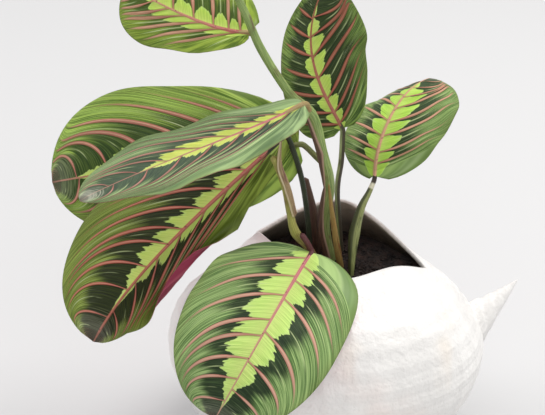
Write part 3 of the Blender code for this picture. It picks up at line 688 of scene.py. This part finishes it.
young_skin = fibre_material("young_leaf_skin", ((0.20, 0.34, 0.09), (0.36, 0.50, 0.17), (0.34, 0.17, 0.12)), 0.42, 7.0, 0.6)
add_stem("leaf_rolled_fine", [(rolled_mesh(), 0)], [young_skin], "leaf_rolled")


# Leaves. Seven satin blades, a light toothed band along the rib, dark blotches beyond it, raised
# salmon veins that sweep to the margin, pink underneath. Each runs down into its own thin petiole.
LOBE_LENGTH = 0.12
VEIN_RISE, PILLOW_RISE, RIB_RISE = 0.38, 0.32, 0.5
HALF_THICK, EDGE_THICK = 0.36, 0.16
ACROSS_STEPS, BLADE_ROWS = 30, 175
SWEEP_LIMIT, GROWTH_LIMIT = 0.86, 0.5

LEAVES = {
    "leaf_upper_left": dict(
        rib=((-33.0, -3.2, 194.7), (-45.0, -2.5, 194.2), (-60.0, 2.5, 199.2), (-83.0, 9.0, 210.0)),
        face=((0.1, -0.75, 0.65), (-0.1, -0.8, 0.6)),
        half=((7.0, 24.0), (23.0, 21.0)), lobe=(0.0, 4.0), fold=(4, 6), curl=(-12, -14), wave=(1.2, 3),
        petiole=((-30.3, -3.2, 193.6), (-31.8, -3.1, 194.3)), radius=1.3,
        veins=((0.05, 0.205, 0.36, 0.5, 0.63, 0.76, 0.88), (0.065, 0.155, 0.275, 0.43, 0.60, 0.74, 0.87)),
        sweep=((0.55, 0.0, 1.5), (0.08, 0.05, 3.6)),
    ),
    "leaf_back": dict(
        rib=((5.7, 18.0, 143.0), (-1.0, 15.0, 158.0), (-18.0, 20.0, 180.0), (0.0, 33.0, 205.0)),
        face=((0.1, -0.95, 0.3), (0.0, -0.7, 0.7)),
        half=((22.0, 5.0), (20.0, 27.0)), lobe=(2.0, 2.0), fold=(8, 8), curl=(-12, -22), wave=(1.0, 3),
        petiole=((6.5, 15.5, 84.0), (4.2, 15.0, 113.0), (5.6, 16.0, 128.0), (6.0, 18.0, 138.0)),
        radius=1.2,
        veins=((0.03, 0.125, 0.245, 0.37, 0.505, 0.615, 0.73, 0.86), (0.04, 0.12, 0.22, 0.36, 0.49, 0.62, 0.74, 0.87)),
        sweep=((0.16, 0.02, 0.2), (0.10, 0.20, 4.0)),
    ),
    "leaf_right": dict(
        rib=((19.8, 8.0, 125.0), (19.5, 10.0, 141.0), (30.0, 28.0, 158.0), (47.0, 55.0, 150.0)),
        face=((-0.1, -0.9, 0.4), (0.1, 0.2, 1.0)),
        half=((22.0, 20.0), (22.0, 26.0)), lobe=(2.0, 2.0), fold=(-28, 4), curl=(-14, -20), wave=(1.2, 3),
        petiole=((10.0, -4.6, 84.0), (10.4, -2.5, 92.0), (11.2, 0.0, 101.0), (13.8, 2.5, 112.0),
                 (17.2, 5.0, 118.6), (19.2, 7.0, 122.6)),
        radius=(1.2, 1.7, 2.4, 1.8, 1.2, 1.0),
        veins=((0.09, 0.165, 0.26, 0.37, 0.49, 0.61, 0.73, 0.86), (0.08, 0.15, 0.26, 0.355, 0.47, 0.59, 0.72, 0.86)),
        sweep=((0.05, 0.0, 4.4), (0.09, 0.24, 4.5)),
    ),
    "leaf_left_back": dict(
        rib=((-13.0, 12.0, 138.0), (-38.0, 14.0, 134.0), (-84.0, 10.0, 127.5), (-118.0, 6.0, 123.0)),
        face=((0.0, -0.9, 0.45), (-0.2, -0.85, 0.5)),
        half=((24.0, 31.0), (25.0, 43.0)), lobe=(2.0, 2.0), fold=(3, 3), curl=(-10, -22), wave=(1.6, 3),
        petiole=((-1.2, 10.2, 128.5), (-5.5, 11.4, 132.5), (-10.0, 12.0, 137.0)), radius=1.3,
        veins=((0.08, 0.2, 0.34, 0.48, 0.62, 0.76, 0.89), (0.05, 0.14, 0.27, 0.42, 0.60, 0.77, 0.90)),
        sweep=((0.1, 0.3, 2.0), (0.03, 0.37, 3.7)),
    ),
    "leaf_left_front": dict(
        rib=((-11.5, -10.7, 166.8), (-30.0, -22.5, 160.5), (-70.0, -34.0, 152.0), (-98.0, -54.0, 145.5)),
        face=((0.2, -0.3, 1.0), (-0.1, -0.1, 1.0)),
        half=((14.0, 19.0), (10.0, 26.0)), lobe=(1.0, 1.0), fold=(4, 4), curl=(-8, -10), wave=(1.2, 3), tip=(2.2, 0.7),
        petiole=((-9.0, -4.8, 161.3), (-9.8, -7.5, 164.0)), radius=1.3,
        veins=((0.05, 0.16, 0.28, 0.41, 0.55, 0.70, 0.85), (0.1, 0.18, 0.25, 0.335, 0.465, 0.61, 0.74, 0.87)),
        sweep=((0.3, 0.8, 0.5), (0.12, 0.22, 3.5)),
    ),
    "leaf_left_low": dict(
        rib=((-19.0, 1.5, 147.0), (-42.0, -11.0, 129.0), (-82.0, -27.0, 101.0), (-98.0, -43.0, 74.0)),
        face=((-0.25, -0.8, 0.55), (-0.3, -0.8, 0.4)),
        half=((17.0, 29.0), (24.0, 44.0)), lobe=(1.0, 1.0), fold=(-56, 0), curl=(-20, -14), wave=(1.4, 3),
        roll=(215, 0),
        petiole=((-7.5, 11.0, 84.0), (-8.1, 9.5, 96.7), (-10.0, 8.0, 114.5), (-12.0, 7.5, 126.0),
                 (-15.0, 6.5, 137.0), (-17.6, 4.0, 145.0)),
        radius=1.2,
        veins=((0.06, 0.16, 0.27, 0.38, 0.5, 0.62, 0.74, 0.87), (0.08, 0.18, 0.285, 0.385, 0.49, 0.565, 0.675, 0.78, 0.9)),
        sweep=((0.6, 0.3, 0.5), (0.2, 0.35, 1.6)),
    ),
    "leaf_front": dict(
        rib=((-7.7, -13.0, 99.0), (-17.0, -37.0, 97.0), (-35.0, -79.0, 86.0), (-47.0, -73.0, 57.0)),
        face=((0.0, -0.6, 0.8), (-0.1, -1.0, -0.1)),
        half=((31.0, 30.0), (34.0, 34.0)), lobe=(2.0, 2.0), fold=(12, 4), curl=(-18, -20), wave=(1.4, 3),
        petiole=((-12.2, -9.8, 107.0), (-10.0, -11.5, 104.5), (-8.2, -11.8, 101.0)), radius=1.3,
        veins=((0.11, 0.215, 0.34, 0.535, 0.69, 0.83), (0.05, 0.19, 0.32, 0.47, 0.56, 0.68, 0.78, 0.89)),
        sweep=((0.12, 0.16, 1.5), (0.16, 0.2, 2.0)),
    ),
}


def bezier(points, at):
    a, b, c, d = (np.asarray(p, float) for p in points)
    u = np.asarray(at)[..., None]
    return a * (1 - u) ** 3 + 3 * b * u * (1 - u) ** 2 + 3 * c * u**2 * (1 - u) + d * u**3


def outline(leaf, along):
    """Half width of a blade as a share of its widest: blunt at the base, rounder than pointed."""
    power, root = leaf.get("tip", (2.4, 0.55))
    along = np.clip(along, 0, 1)
    base = (1 - np.abs(1 - 2 * along) ** 3) ** 0.4
    tip = (1 - np.abs(2 * along - 1) ** power) ** root
    return np.where(along < 0.5, base, tip)


def blade_frames(leaf, along):
    """Middle, side direction and face direction of a blade at each share of its length."""
    fine = np.linspace(0, 1, 401)
    curve = bezier(leaf["rib"], fine)
    length = np.r_[0, np.cumsum(np.linalg.norm(np.diff(curve, axis=0), axis=1))]
    at = np.interp(along * length[-1], length, fine)
    middle = bezier(leaf["rib"], at)
    ahead = bezier(leaf["rib"], np.minimum(at + 0.01, 1)) - bezier(leaf["rib"], np.maximum(at - 0.01, 0))
    ahead = ahead / np.linalg.norm(ahead, axis=-1, keepdims=True)
    base, tip = (np.asarray(v, float) for v in leaf["face"])
    face = base + (tip - base) * np.asarray(along)[..., None]
    side = np.cross(ahead, face)
    side = side / np.linalg.norm(side, axis=-1, keepdims=True)
    return middle, side, np.cross(side, ahead), ahead, length[-1]


def blade_rows(leaf):
    """Where the rows of the blade's net leave the rib, closer together at a vein of either half."""
    fine = np.linspace(0, 1, 4001)
    weight = np.ones_like(fine)
    for starts in leaf["veins"]:
        for start in starts:
            weight += 5 * np.exp(-(((fine - start) / 0.011) ** 2))
    total = np.r_[0, np.cumsum(weight[1:] + weight[:-1])]
    rows = np.interp(np.linspace(0, 0.985 * total[-1], BLADE_ROWS), total, fine)
    fan = -np.array([0.98, 0.93, 0.86, 0.76, 0.65, 0.53, 0.41, 0.3, 0.2, 0.1])
    return np.r_[fan, rows]


def vein_number(starts, row):
    """Counts the veins of one half: whole where a vein leaves the rib, and negative below the first."""
    known = np.r_[starts, 1.0]
    count = np.interp(row, known, np.arange(len(known)))
    below = (row - starts[0]) / (starts[1] - starts[0])
    at_base = max(-0.75, -starts[0] / (starts[1] - starts[0]))
    fan = at_base + (at_base + 0.75) * row
    return np.where(row < 0, fan, np.where(row < starts[0], np.maximum(below, -0.75), count))


def swept(row, across, sweep):
    """How far along the blade a place lies, from its row's start and its share from rib to margin."""
    first, third, growth = sweep
    start = np.maximum(row, 0)
    reach = (first * across + third * across**3) * np.exp(growth * np.minimum(start, GROWTH_LIMIT))
    reach = reach / (1 + (reach / SWEEP_LIMIT) ** 4) ** 0.25
    return np.where(row < 0, (1 + row) * reach, start + (1 - start) * reach)


def half_section(out, across, fold, curl, roll):
    """Cross-section of one half: a folded, evenly curled arc with, where roll is not 0, a rolled margin."""
    steps = 48
    total = np.zeros((2, *out.shape))
    for k in range(steps):
        place = across * (k + 0.5) / steps
        turn = fold + curl * place + roll * np.clip((place - 0.70) / 0.15, 0, 1)
        total += np.stack([np.cos(turn), np.sin(turn)])
    return total * out / steps


def blade_half(leaf, row, across, pick):
    """One half of the blade's middle surface; pick is 0 for its left half and 1 for its right."""
    sign = 2 * pick - 1
    near, far = leaf["half"][pick]
    along = swept(row, across, leaf["sweep"][pick])
    middle, side, face, ahead, _ = blade_frames(leaf, along)
    out = (near + (far - near) * along) * outline(leaf, along) * across
    roll = math.radians(leaf.get("roll", (0, 0))[pick]) * np.sin(math.pi * np.clip((along - 0.3) / 0.62, 0, 1))
    flat, rise = half_section(out, across, math.radians(leaf["fold"][pick]), math.radians(leaf["curl"][pick]), roll)
    height, count = leaf["wave"]
    rise = rise + height * across**2 * outline(leaf, along) * np.sin(2 * math.pi * (count * along + 0.3 * sign))
    number = vein_number(leaf["veins"][pick], row)
    fade = np.sin(math.pi * across) * np.clip(1.2 - along, 0, 1) * np.clip(2 * along / 0.3, 0, 1)
    rise = rise - PILLOW_RISE * np.cos(2 * math.pi * number) * fade
    back = leaf["lobe"][pick] * across**2 * np.exp(-along / LOBE_LENGTH)
    place = middle + side * (sign * flat)[..., None] + face * rise[..., None] - ahead * back[..., None]
    return place, number, along, out


def blade_mesh(leaf):
    """The blade as a thin closed body, with the marks that its drawing is made from."""
    rows = blade_rows(leaf)
    share = np.r_[0.0, 0.012, 0.035, np.linspace(0.07, 1, ACROSS_STEPS - 3) ** 0.95]
    halves = [blade_half(leaf, *np.meshgrid(rows, share, indexing="ij"), pick) for pick in (0, 1)]
    place, number, along, out = (np.concatenate([left[:, :0:-1], right], 1) for left, right in zip(*halves))
    signed = np.r_[-share[:0:-1], share]
    across = np.broadcast_to(np.abs(signed), number.shape)
    sign = np.broadcast_to(np.where(signed < 0, -1.0, 1.0), number.shape)
    row = np.broadcast_to(rows[:, None], number.shape)
    count, wide = number.shape
    index = np.arange(count * wide).reshape(count, wide)
    first_row = int(np.searchsorted(rows, 0.0))
    index[:first_row, ACROSS_STEPS - 1] = index[first_row, ACROSS_STEPS - 1]
    tip = count * wide
    points = np.vstack([place.reshape(-1, 3), bezier(leaf["rib"], np.array([1.0]))])
    step_n = np.gradient(place, axis=0) / np.maximum(np.abs(np.gradient(number, axis=0)), 1e-5)[..., None]
    step_v = np.gradient(place, signed, axis=1)
    gap = np.linalg.norm(np.cross(step_n, step_v), axis=-1) / np.maximum(np.linalg.norm(step_v, axis=-1), 1e-6)
    gap = np.clip(gap, 0.2, 30.0)
    pattern = np.vstack([np.stack([across, number, row], -1).reshape(-1, 3), (0.0, 0.0, 1.0)])
    sizes = np.vstack([np.stack([gap, out, sign], -1).reshape(-1, 3), (1.0, 0.0, 1.0)])
    faces = []
    for i in range(count - 1):
        for j in range(wide - 1):
            corners = [index[i, j], index[i, j + 1], index[i + 1, j + 1], index[i + 1, j]]
            corners = list(dict.fromkeys(int(c) for c in corners))
            if len(corners) > 2:
                faces.append(corners)
    for j in range(wide - 1):
        faces.append([int(index[-1, j]), int(index[-1, j + 1]), tip])
    normals = point_normals(points, faces)
    off_vein = np.abs(number - np.round(number)) * gap
    envelope = np.clip(across / 0.1, 0, 1) * np.clip((0.95 - across) / 0.3, 0, 1) * (number > -0.3)
    vein = VEIN_RISE * envelope * np.exp(-((off_vein / 0.7) ** 2))
    rib = RIB_RISE * (1 - 0.6 * along) * np.exp(-((out / 0.8) ** 2))
    rise = np.r_[np.maximum(vein, rib).ravel(), 0.0]
    thick = np.r_[(HALF_THICK + (EDGE_THICK - HALF_THICK) * across**3).ravel(), EDGE_THICK]
    upper = points + normals * (thick + rise)[:, None]
    lower = points - normals * (thick + 0.8 * rise)[:, None]
    total = len(points)
    under = [[c + total for c in f[::-1]] for f in faces]
    edge = [*index[0, :], *index[1:, -1], tip, *index[:0:-1, 0]]
    rim = []
    for a, b in zip(edge, [*edge[1:], edge[0]]):
        rim.append([int(b), int(a), int(a) + total, int(b) + total])
    marks = np.r_[np.zeros(total), np.ones(total)]
    return (np.vstack([upper, lower]), faces + under + rim, np.vstack([pattern, pattern]),
            np.vstack([sizes, sizes]), marks)


def point_normals(points, faces):
    """Mean outward direction of the faces round each point."""
    corners = np.array([(f[0], f[1], f[2], f[-1]) for f in faces])
    a, b, c, d = (points[corners[:, k]] for k in range(4))
    normal = np.cross(c - a, d - b)
    thin = np.linalg.norm(normal, axis=1) < 1e-9
    normal[thin] = np.cross(b - a, c - a)[thin]
    total = np.zeros_like(points)
    for k in range(4):
        np.add.at(total, corners[:, k], normal)
    size = np.linalg.norm(total, axis=1, keepdims=True)
    return total / np.maximum(size, 1e-12)


def pattern_group():
    """The blade's drawing: toothed light band, dark blotches, veins, rib and pink underside, with painted highlights
    between the veins and on the vein and rib crests, painted shade beside the veins, and a painted sheen.
    """
    tree = bpy.data.node_groups.new("leaf_drawing", "ShaderNodeTree")
    floats = ("Band left", "Band right", "Band end", "Tooth", "Jagged", "Blotch", "Blotch reach", "Sheen", "Dry tip",
              "Vein size", "Band start")
    for name in ("Pattern", "Sizes"):
        tree.interface.new_socket(name, in_out="INPUT", socket_type="NodeSocketVector")
    for name in ("Under", *floats):
        tree.interface.new_socket(name, in_out="INPUT", socket_type="NodeSocketFloat")
    for name in ("Deep green", "Light green", "Band green", "Blotch green", "Vein red", "Vein highlight", "Rib red"):
        tree.interface.new_socket(name, in_out="INPUT", socket_type="NodeSocketColor")
    tree.interface.new_socket("Color", in_out="OUTPUT", socket_type="NodeSocketColor")
    for name in ("Roughness", "Height"):
        tree.interface.new_socket(name, in_out="OUTPUT", socket_type="NodeSocketFloat")
    given = tree.nodes.new("NodeGroupInput").outputs
    out = tree.nodes.new("NodeGroupOutput")

    def apart(socket):
        node = tree.nodes.new("ShaderNodeSeparateXYZ")
        tree.links.new(socket, node.inputs[0])
        return node.outputs

    def make(operation, *values, clamp=False):
        return calc(tree, operation, *values, clamp=clamp)

    def step(value, low, high, to_low=0.0, to_high=1.0):
        return ramp(tree, value, low, high, to_low, to_high)

    def streaks(fine, coarse, shift):
        node = tree.nodes.new("ShaderNodeCombineXYZ")
        tree.links.new(make("MULTIPLY", number, fine), node.inputs["X"])
        tree.links.new(make("MULTIPLY", across, coarse), node.inputs["Y"])
        link_or_set(tree, node.inputs["Z"], make("MULTIPLY_ADD", side, 3.1, shift))
        return noise(tree, node.outputs[0], 1.0, 3.0, 0.6)

    across, number, row = apart(given["Pattern"])
    gap, out_mm, side = apart(given["Sizes"])
    phase = make("ABSOLUTE", make("SUBTRACT", number, make("ROUND", number)))
    share = make("FRACT", make("ADD", number, 4.0))
    vein_mm = make("MULTIPLY", phase, gap)
    second_mm = make("MULTIPLY", make("SUBTRACT", 0.5, phase), gap)
    fine = streaks(24.0, 1.5, 0.0)
    hair = streaks(46.0, 1.0, 2.0)
    broad = streaks(5.5, 1.3, 5.0)
    ragged = streaks(4.5, 2.0, 9.0)

    right = make("MULTIPLY_ADD", side, 0.5, 0.5)
    band = make("MULTIPLY_ADD", make("SUBTRACT", given["Band right"], given["Band left"]), right, given["Band left"])
    rising = step(share, -0.1, 0.5, 0.4, 1.0)
    lobed = make("MULTIPLY", rising, step(share, 0.98, 0.6))
    reach = make("MULTIPLY_ADD", lobed, given["Tooth"], band)
    teeth = make("PINGPONG", make("MULTIPLY_ADD", number, 3.3, make("MULTIPLY", broad, 2.0)), 0.5)
    reach = make("MULTIPLY_ADD", make("SUBTRACT", teeth, 0.25), make("MULTIPLY", given["Jagged"], 0.5), reach)
    reach = make("MULTIPLY_ADD", make("SUBTRACT", ragged, 0.5), given["Jagged"], reach)
    ending = make("SUBTRACT", row, given["Band end"])
    reach = make("MULTIPLY", reach, step(ending, -0.35, 0.02, 1.0, 0.0))
    in_band = step(make("SUBTRACT", across, reach), 0.007, -0.007)
    in_band = make("MULTIPLY", in_band, step(ending, 0.01, -0.01))
    in_band = make("MULTIPLY", in_band, step(make("SUBTRACT", row, given["Band start"]), 0.0, 0.05))

    ends = make("MULTIPLY_ADD", make("SUBTRACT", broad, 0.5), 0.4, given["Blotch reach"])
    ends = make("SUBTRACT", ends, make("MULTIPLY", step(share, 0.3, 0.75), 0.12))
    dark = step(make("SUBTRACT", across, ends), 0.10, -0.12)
    dark = make("MULTIPLY", make("MULTIPLY", dark, given["Blotch"]), step(number, -0.5, 0.1))

    lamina = blend(tree, step(fine, 0.40, 0.64), given["Deep green"], given["Light green"])
    # Painted highlight: the lamina is lightened mid-way between the veins, where the quilted pillows catch the light.
    pillow_highlight = make("MULTIPLY", step(phase, 0.05, 0.35), step(broad, 0.35, 0.7))
    lamina = blend(tree, make("MULTIPLY", pillow_highlight, 0.55), lamina, given["Light green"])
    lamina = blend(tree, step(across, 0.86, 1.0, 0.0, 0.3), lamina, (0.24, 0.30, 0.08))
    blotch = blend(tree, step(fine, 0.45, 0.8, 0.0, 0.35), given["Blotch green"], given["Deep green"])
    lamina = blend(tree, dark, lamina, blotch)
    pale = make("MULTIPLY", step(hair, 0.60, 0.70), step(across, 0.25, 0.6, 0.0, 0.5))
    lamina = blend(tree, make("MULTIPLY", pale, step(across, 1.0, 0.75)), lamina, (0.58, 0.68, 0.38))
    light = blend(tree, step(fine, 0.35, 0.65, 0.45, 0.0), given["Band green"], (0.20, 0.42, 0.04))
    light = blend(tree, step(across, 0.02, 0.22, 0.3, 0.0), light, (0.56, 0.58, 0.20))
    light = blend(tree, step(make("SUBTRACT", reach, across), 0.05, 0.0, 0.0, 0.35), light, (0.50, 0.68, 0.25))
    surface = blend(tree, in_band, lamina, light)

    thin = make("MULTIPLY", step(second_mm, 0.30, 0.12), step(ragged, 0.40, 0.55))
    thin = make("MULTIPLY", thin, make("MULTIPLY", step(across, 0.2, 0.35), step(across, 0.88, 0.6)))
    surface = blend(tree, make("MULTIPLY", thin, 0.6), surface, (0.56, 0.66, 0.32))

    half = make("MULTIPLY", step(across, 0.04, 0.35, 0.28, 0.78), step(across, 0.97, 0.50, 0.25, 1.0))
    half = make("MULTIPLY", make("MULTIPLY", half, step(row, 0.55, 1.0, 1.0, 0.55)), given["Vein size"])
    on_vein = step(make("SUBTRACT", vein_mm, half), 0.14, -0.14)
    on_vein = make("MULTIPLY", on_vein, step(across, 0.97, 0.72, 0.0, 1.0))
    on_vein = make("MULTIPLY", on_vein, step(number, -0.4, -0.3))
    dark_red = blend(tree, 0.6, given["Vein red"], (0.30, 0.035, 0.03))
    vein_colour = blend(tree, step(across, 0.15, 0.4), dark_red, given["Vein red"])
    # Painted highlight: a paler line along the crest of each raised vein.
    vein_crest_highlight = step(make("DIVIDE", vein_mm, half), 0.7, 0.0, 0.0, 0.45)
    vein_colour = blend(tree, vein_crest_highlight, vein_colour, given["Vein highlight"])
    # Painted shade: a darker strip of blotch green along both sides of each vein, the shadow at the raised vein's
    # edges.
    vein_edge_shade = make("MULTIPLY", step(make("SUBTRACT", vein_mm, half), 0.55, 0.05, 0.0, 0.45), step(across, 0.9, 0.6))
    surface = blend(tree, vein_edge_shade, surface, given["Blotch green"])
    surface = blend(tree, on_vein, surface, vein_colour)

    rib_half = make("MULTIPLY", step(row, 0.0, 1.0, 0.85, 0.30), given["Vein size"])
    on_rib = step(make("SUBTRACT", out_mm, rib_half), 0.16, -0.16)
    rib_colour = blend(tree, step(row, 0.05, 0.8), given["Rib red"], given["Vein red"])
    # Painted highlight along the rib's crest, in the vein highlight colour.
    rib_colour = blend(tree, step(make("DIVIDE", out_mm, rib_half), 0.6, 0.0, 0.0, 0.3), rib_colour, given["Vein highlight"])
    rib_colour = blend(tree, step(ragged, 0.60, 0.70), rib_colour, (0.12, 0.02, 0.03))
    surface = blend(tree, on_rib, surface, rib_colour)

    # Painted reflection: Sheen mixes the upper side toward grey-green, standing for the sky's sheen seen at a grazing
    # angle.
    sheened_surface = blend(tree, given["Sheen"], surface, (0.20, 0.32, 0.24))
    dry = make("MULTIPLY", step(make("ADD", row, make("MULTIPLY", fine, 0.2)), 0.98, 1.06), given["Dry tip"])
    sheened_surface = blend(tree, dry, sheened_surface, (0.55, 0.53, 0.44))
    pink = blend(tree, step(fine, 0.35, 0.7), (0.36, 0.055, 0.105), (0.52, 0.14, 0.19))
    pink = blend(tree, make("MAXIMUM", on_vein, on_rib), pink, (0.42, 0.16, 0.13))
    colour = blend(tree, given["Under"], sheened_surface, pink)
    tree.links.new(colour, out.inputs["Color"])
    tree.links.new(make("MULTIPLY_ADD", fine, 0.2, 0.36), out.inputs["Roughness"])
    tree.links.new(make("ADD", fine, make("MULTIPLY", broad, 0.6)), out.inputs["Height"])
    return tree


LEAF_DRAWING = pattern_group()


def leaf_material(name, **values):
    made, tree, shader = blank_material(name)
    group = tree.nodes.new("ShaderNodeGroup")
    group.node_tree = LEAF_DRAWING
    tree.links.new(mark(tree, "pattern").outputs["Vector"], group.inputs["Pattern"])
    tree.links.new(mark(tree, "sizes").outputs["Vector"], group.inputs["Sizes"])
    tree.links.new(mark(tree, "under").outputs["Fac"], group.inputs["Under"])
    for key, value in values.items():
        link_or_set(tree, group.inputs[key.replace("_", " ").capitalize()], value)
    tree.links.new(group.outputs["Color"], shader.inputs["Base Color"])
    tree.links.new(group.outputs["Roughness"], shader.inputs["Roughness"])
    shader.inputs["Specular IOR Level"].default_value = 0.22
    bump(tree, shader, group.outputs["Height"], 0.0005)
    return made


FINISH = {
    "leaf_upper_left": dict(
        band_left=0.15, band_right=0.10, tooth=0.17, jagged=0.12, band_end=0.9, blotch=0.8, blotch_reach=0.60,
        deep_green=(0.07, 0.14, 0.012), light_green=(0.34, 0.46, 0.06), band_green=(0.54, 0.72, 0.12),
        blotch_green=(0.025, 0.06, 0.006), vein_red=(0.56, 0.28, 0.18), rib_red=(0.50, 0.14, 0.12)),
    "leaf_back": dict(
        band_left=0.08, band_right=0.06, tooth=0.18, jagged=0.12, band_end=0.86, blotch=0.85, blotch_reach=0.75,
        deep_green=(0.03, 0.07, 0.012), light_green=(0.21, 0.32, 0.07), band_green=(0.54, 0.72, 0.12),
        blotch_green=(0.008, 0.018, 0.004), vein_red=(0.32, 0.10, 0.06), vein_highlight=(0.56, 0.28, 0.18),
        vein_size=1.0, rib_red=(0.46, 0.16, 0.12)),
    "leaf_right": dict(
        band_left=0.14, band_right=0.10, tooth=0.24, jagged=0.08, band_end=0.86, blotch=0.9, blotch_reach=0.62,
        deep_green=(0.05, 0.12, 0.020), light_green=(0.29, 0.42, 0.13), band_green=(0.44, 0.70, 0.09),
        blotch_green=(0.010, 0.028, 0.007), vein_red=(0.54, 0.27, 0.17), vein_size=0.8, rib_red=(0.62, 0.34, 0.20)),
    "leaf_left_back": dict(
        band_left=0.16, band_right=0.16, tooth=0.12, jagged=0.22, band_start=0.4, band_end=0.95, blotch=0.85,
        blotch_reach=0.60, deep_green=(0.05, 0.12, 0.008), light_green=(0.38, 0.55, 0.10),
        band_green=(0.52, 0.68, 0.12), blotch_green=(0.010, 0.030, 0.004), vein_red=(0.42, 0.16, 0.11),
        vein_highlight=(0.70, 0.46, 0.32), vein_size=1.2),
    "leaf_left_front": dict(
        band_left=0.06, band_right=0.18, tooth=0.12, jagged=0.24, band_end=0.78, blotch=0.85, blotch_reach=0.55,
        sheen=0.0, dry_tip=0.5, deep_green=(0.08, 0.14, 0.055), light_green=(0.30, 0.42, 0.18),
        band_green=(0.66, 0.70, 0.14), blotch_green=(0.030, 0.050, 0.036), vein_red=(0.38, 0.17, 0.13),
        vein_highlight=(0.62, 0.42, 0.34), vein_size=0.7),
    "leaf_left_low": dict(
        band_left=0.06, band_right=0.07, tooth=0.13, jagged=0.22, band_end=0.90, blotch=0.95, blotch_reach=0.55,
        deep_green=(0.06, 0.09, 0.007), light_green=(0.30, 0.40, 0.07), band_green=(0.54, 0.68, 0.14),
        blotch_green=(0.008, 0.013, 0.001), vein_red=(0.46, 0.12, 0.08), vein_highlight=(0.70, 0.42, 0.30),
        rib_red=(0.46, 0.12, 0.10), vein_size=0.9),
    "leaf_front": dict(
        band_left=0.16, band_right=0.20, tooth=0.13, jagged=0.24, band_end=0.97, blotch=0.95, blotch_reach=0.56,
        deep_green=(0.06, 0.14, 0.030), light_green=(0.38, 0.54, 0.20), band_green=(0.60, 0.80, 0.22),
        blotch_green=(0.008, 0.021, 0.006), vein_red=(0.56, 0.27, 0.20), vein_highlight=(0.76, 0.54, 0.40)),
}
PETIOLE_FINISH = {
    "leaf_upper_left": dict(colours=((0.28, 0.20, 0.08), (0.45, 0.33, 0.14), (0.40, 0.12, 0.10))),
    "leaf_back": dict(colours=((0.22, 0.27, 0.10), (0.44, 0.50, 0.22), (0.035, 0.016, 0.018)), dark_side=165.0),
    "leaf_right": dict(colours=((0.16, 0.18, 0.05), (0.36, 0.40, 0.15), (0.035, 0.045, 0.012)), dark_side=25.0,
                       collar=0.69),
    "leaf_left_back": dict(colours=((0.10, 0.12, 0.03), (0.26, 0.28, 0.09), (0.10, 0.035, 0.035))),
    "leaf_left_front": dict(colours=((0.28, 0.20, 0.08), (0.45, 0.33, 0.14), (0.40, 0.12, 0.10))),
    "leaf_left_low": dict(colours=((0.012, 0.018, 0.010), (0.05, 0.065, 0.03), (0.02, 0.012, 0.012))),
    "leaf_front": dict(colours=((0.05, 0.009, 0.012), (0.15, 0.035, 0.038), (0.03, 0.006, 0.009))),
}


def petiole_mesh(leaf):
    middle, _, face, _, _ = blade_frames(leaf, np.array([0.0, 0.12, 0.3]))
    stalk = list(leaf["petiole"])
    radii = list(np.broadcast_to(leaf["radius"], len(stalk)))
    run = middle - face * np.array([0.1, 0.3, 0.4])[:, None] * radii[-1]
    radii = [*radii, radii[-1], 0.8 * radii[-1], 0.45 * radii[-1]]
    if stalk[0][2] < SOIL_Z + 3:
        stalk, radii = rooted(stalk, radii)
    return stem_mesh([*stalk, *run], radii, 16, 1.2, 5, 0.05)


for leaf_name, leaf_shape in LEAVES.items():
    blade_points, blade_faces, pattern, sizes, under = blade_mesh(leaf_shape)
    stalk_points, stalk_faces, stalk_place = petiole_mesh(leaf_shape)
    first = len(blade_points)
    all_faces = blade_faces + [[int(i) + first for i in f] for f in stalk_faces]
    petiole_skin = fibre_material(leaf_name + "_petiole", rough=0.45, fine=6.0, **PETIOLE_FINISH[leaf_name])
    finish = dict(sheen=0.0, dry_tip=0.15, vein_size=1.0, band_start=-2.0, vein_highlight=(0.70, 0.45, 0.33),
                  rib_red=(0.58, 0.16, 0.20))
    finish.update(FINISH[leaf_name])
    drawn = leaf_material(leaf_name + "_skin", **finish)
    made = new_mesh(leaf_name + "_fine", np.vstack([blade_points, stalk_points]), all_faces, [drawn, petiole_skin])
    made.data.polygons.foreach_set("material_index", [0] * len(blade_faces) + [1] * len(stalk_faces))
    stalk_zero = np.zeros((len(stalk_points), 3))
    carry(made, "pattern", np.vstack([pattern, stalk_zero]))
    carry(made, "sizes", np.vstack([sizes, stalk_zero]))
    carry(made, "under", np.r_[under, np.zeros(len(stalk_points))])
    carry(made, "place", np.vstack([np.zeros((first, 3)), stalk_place]))
    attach(made, "root")
    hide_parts(leaf_name)
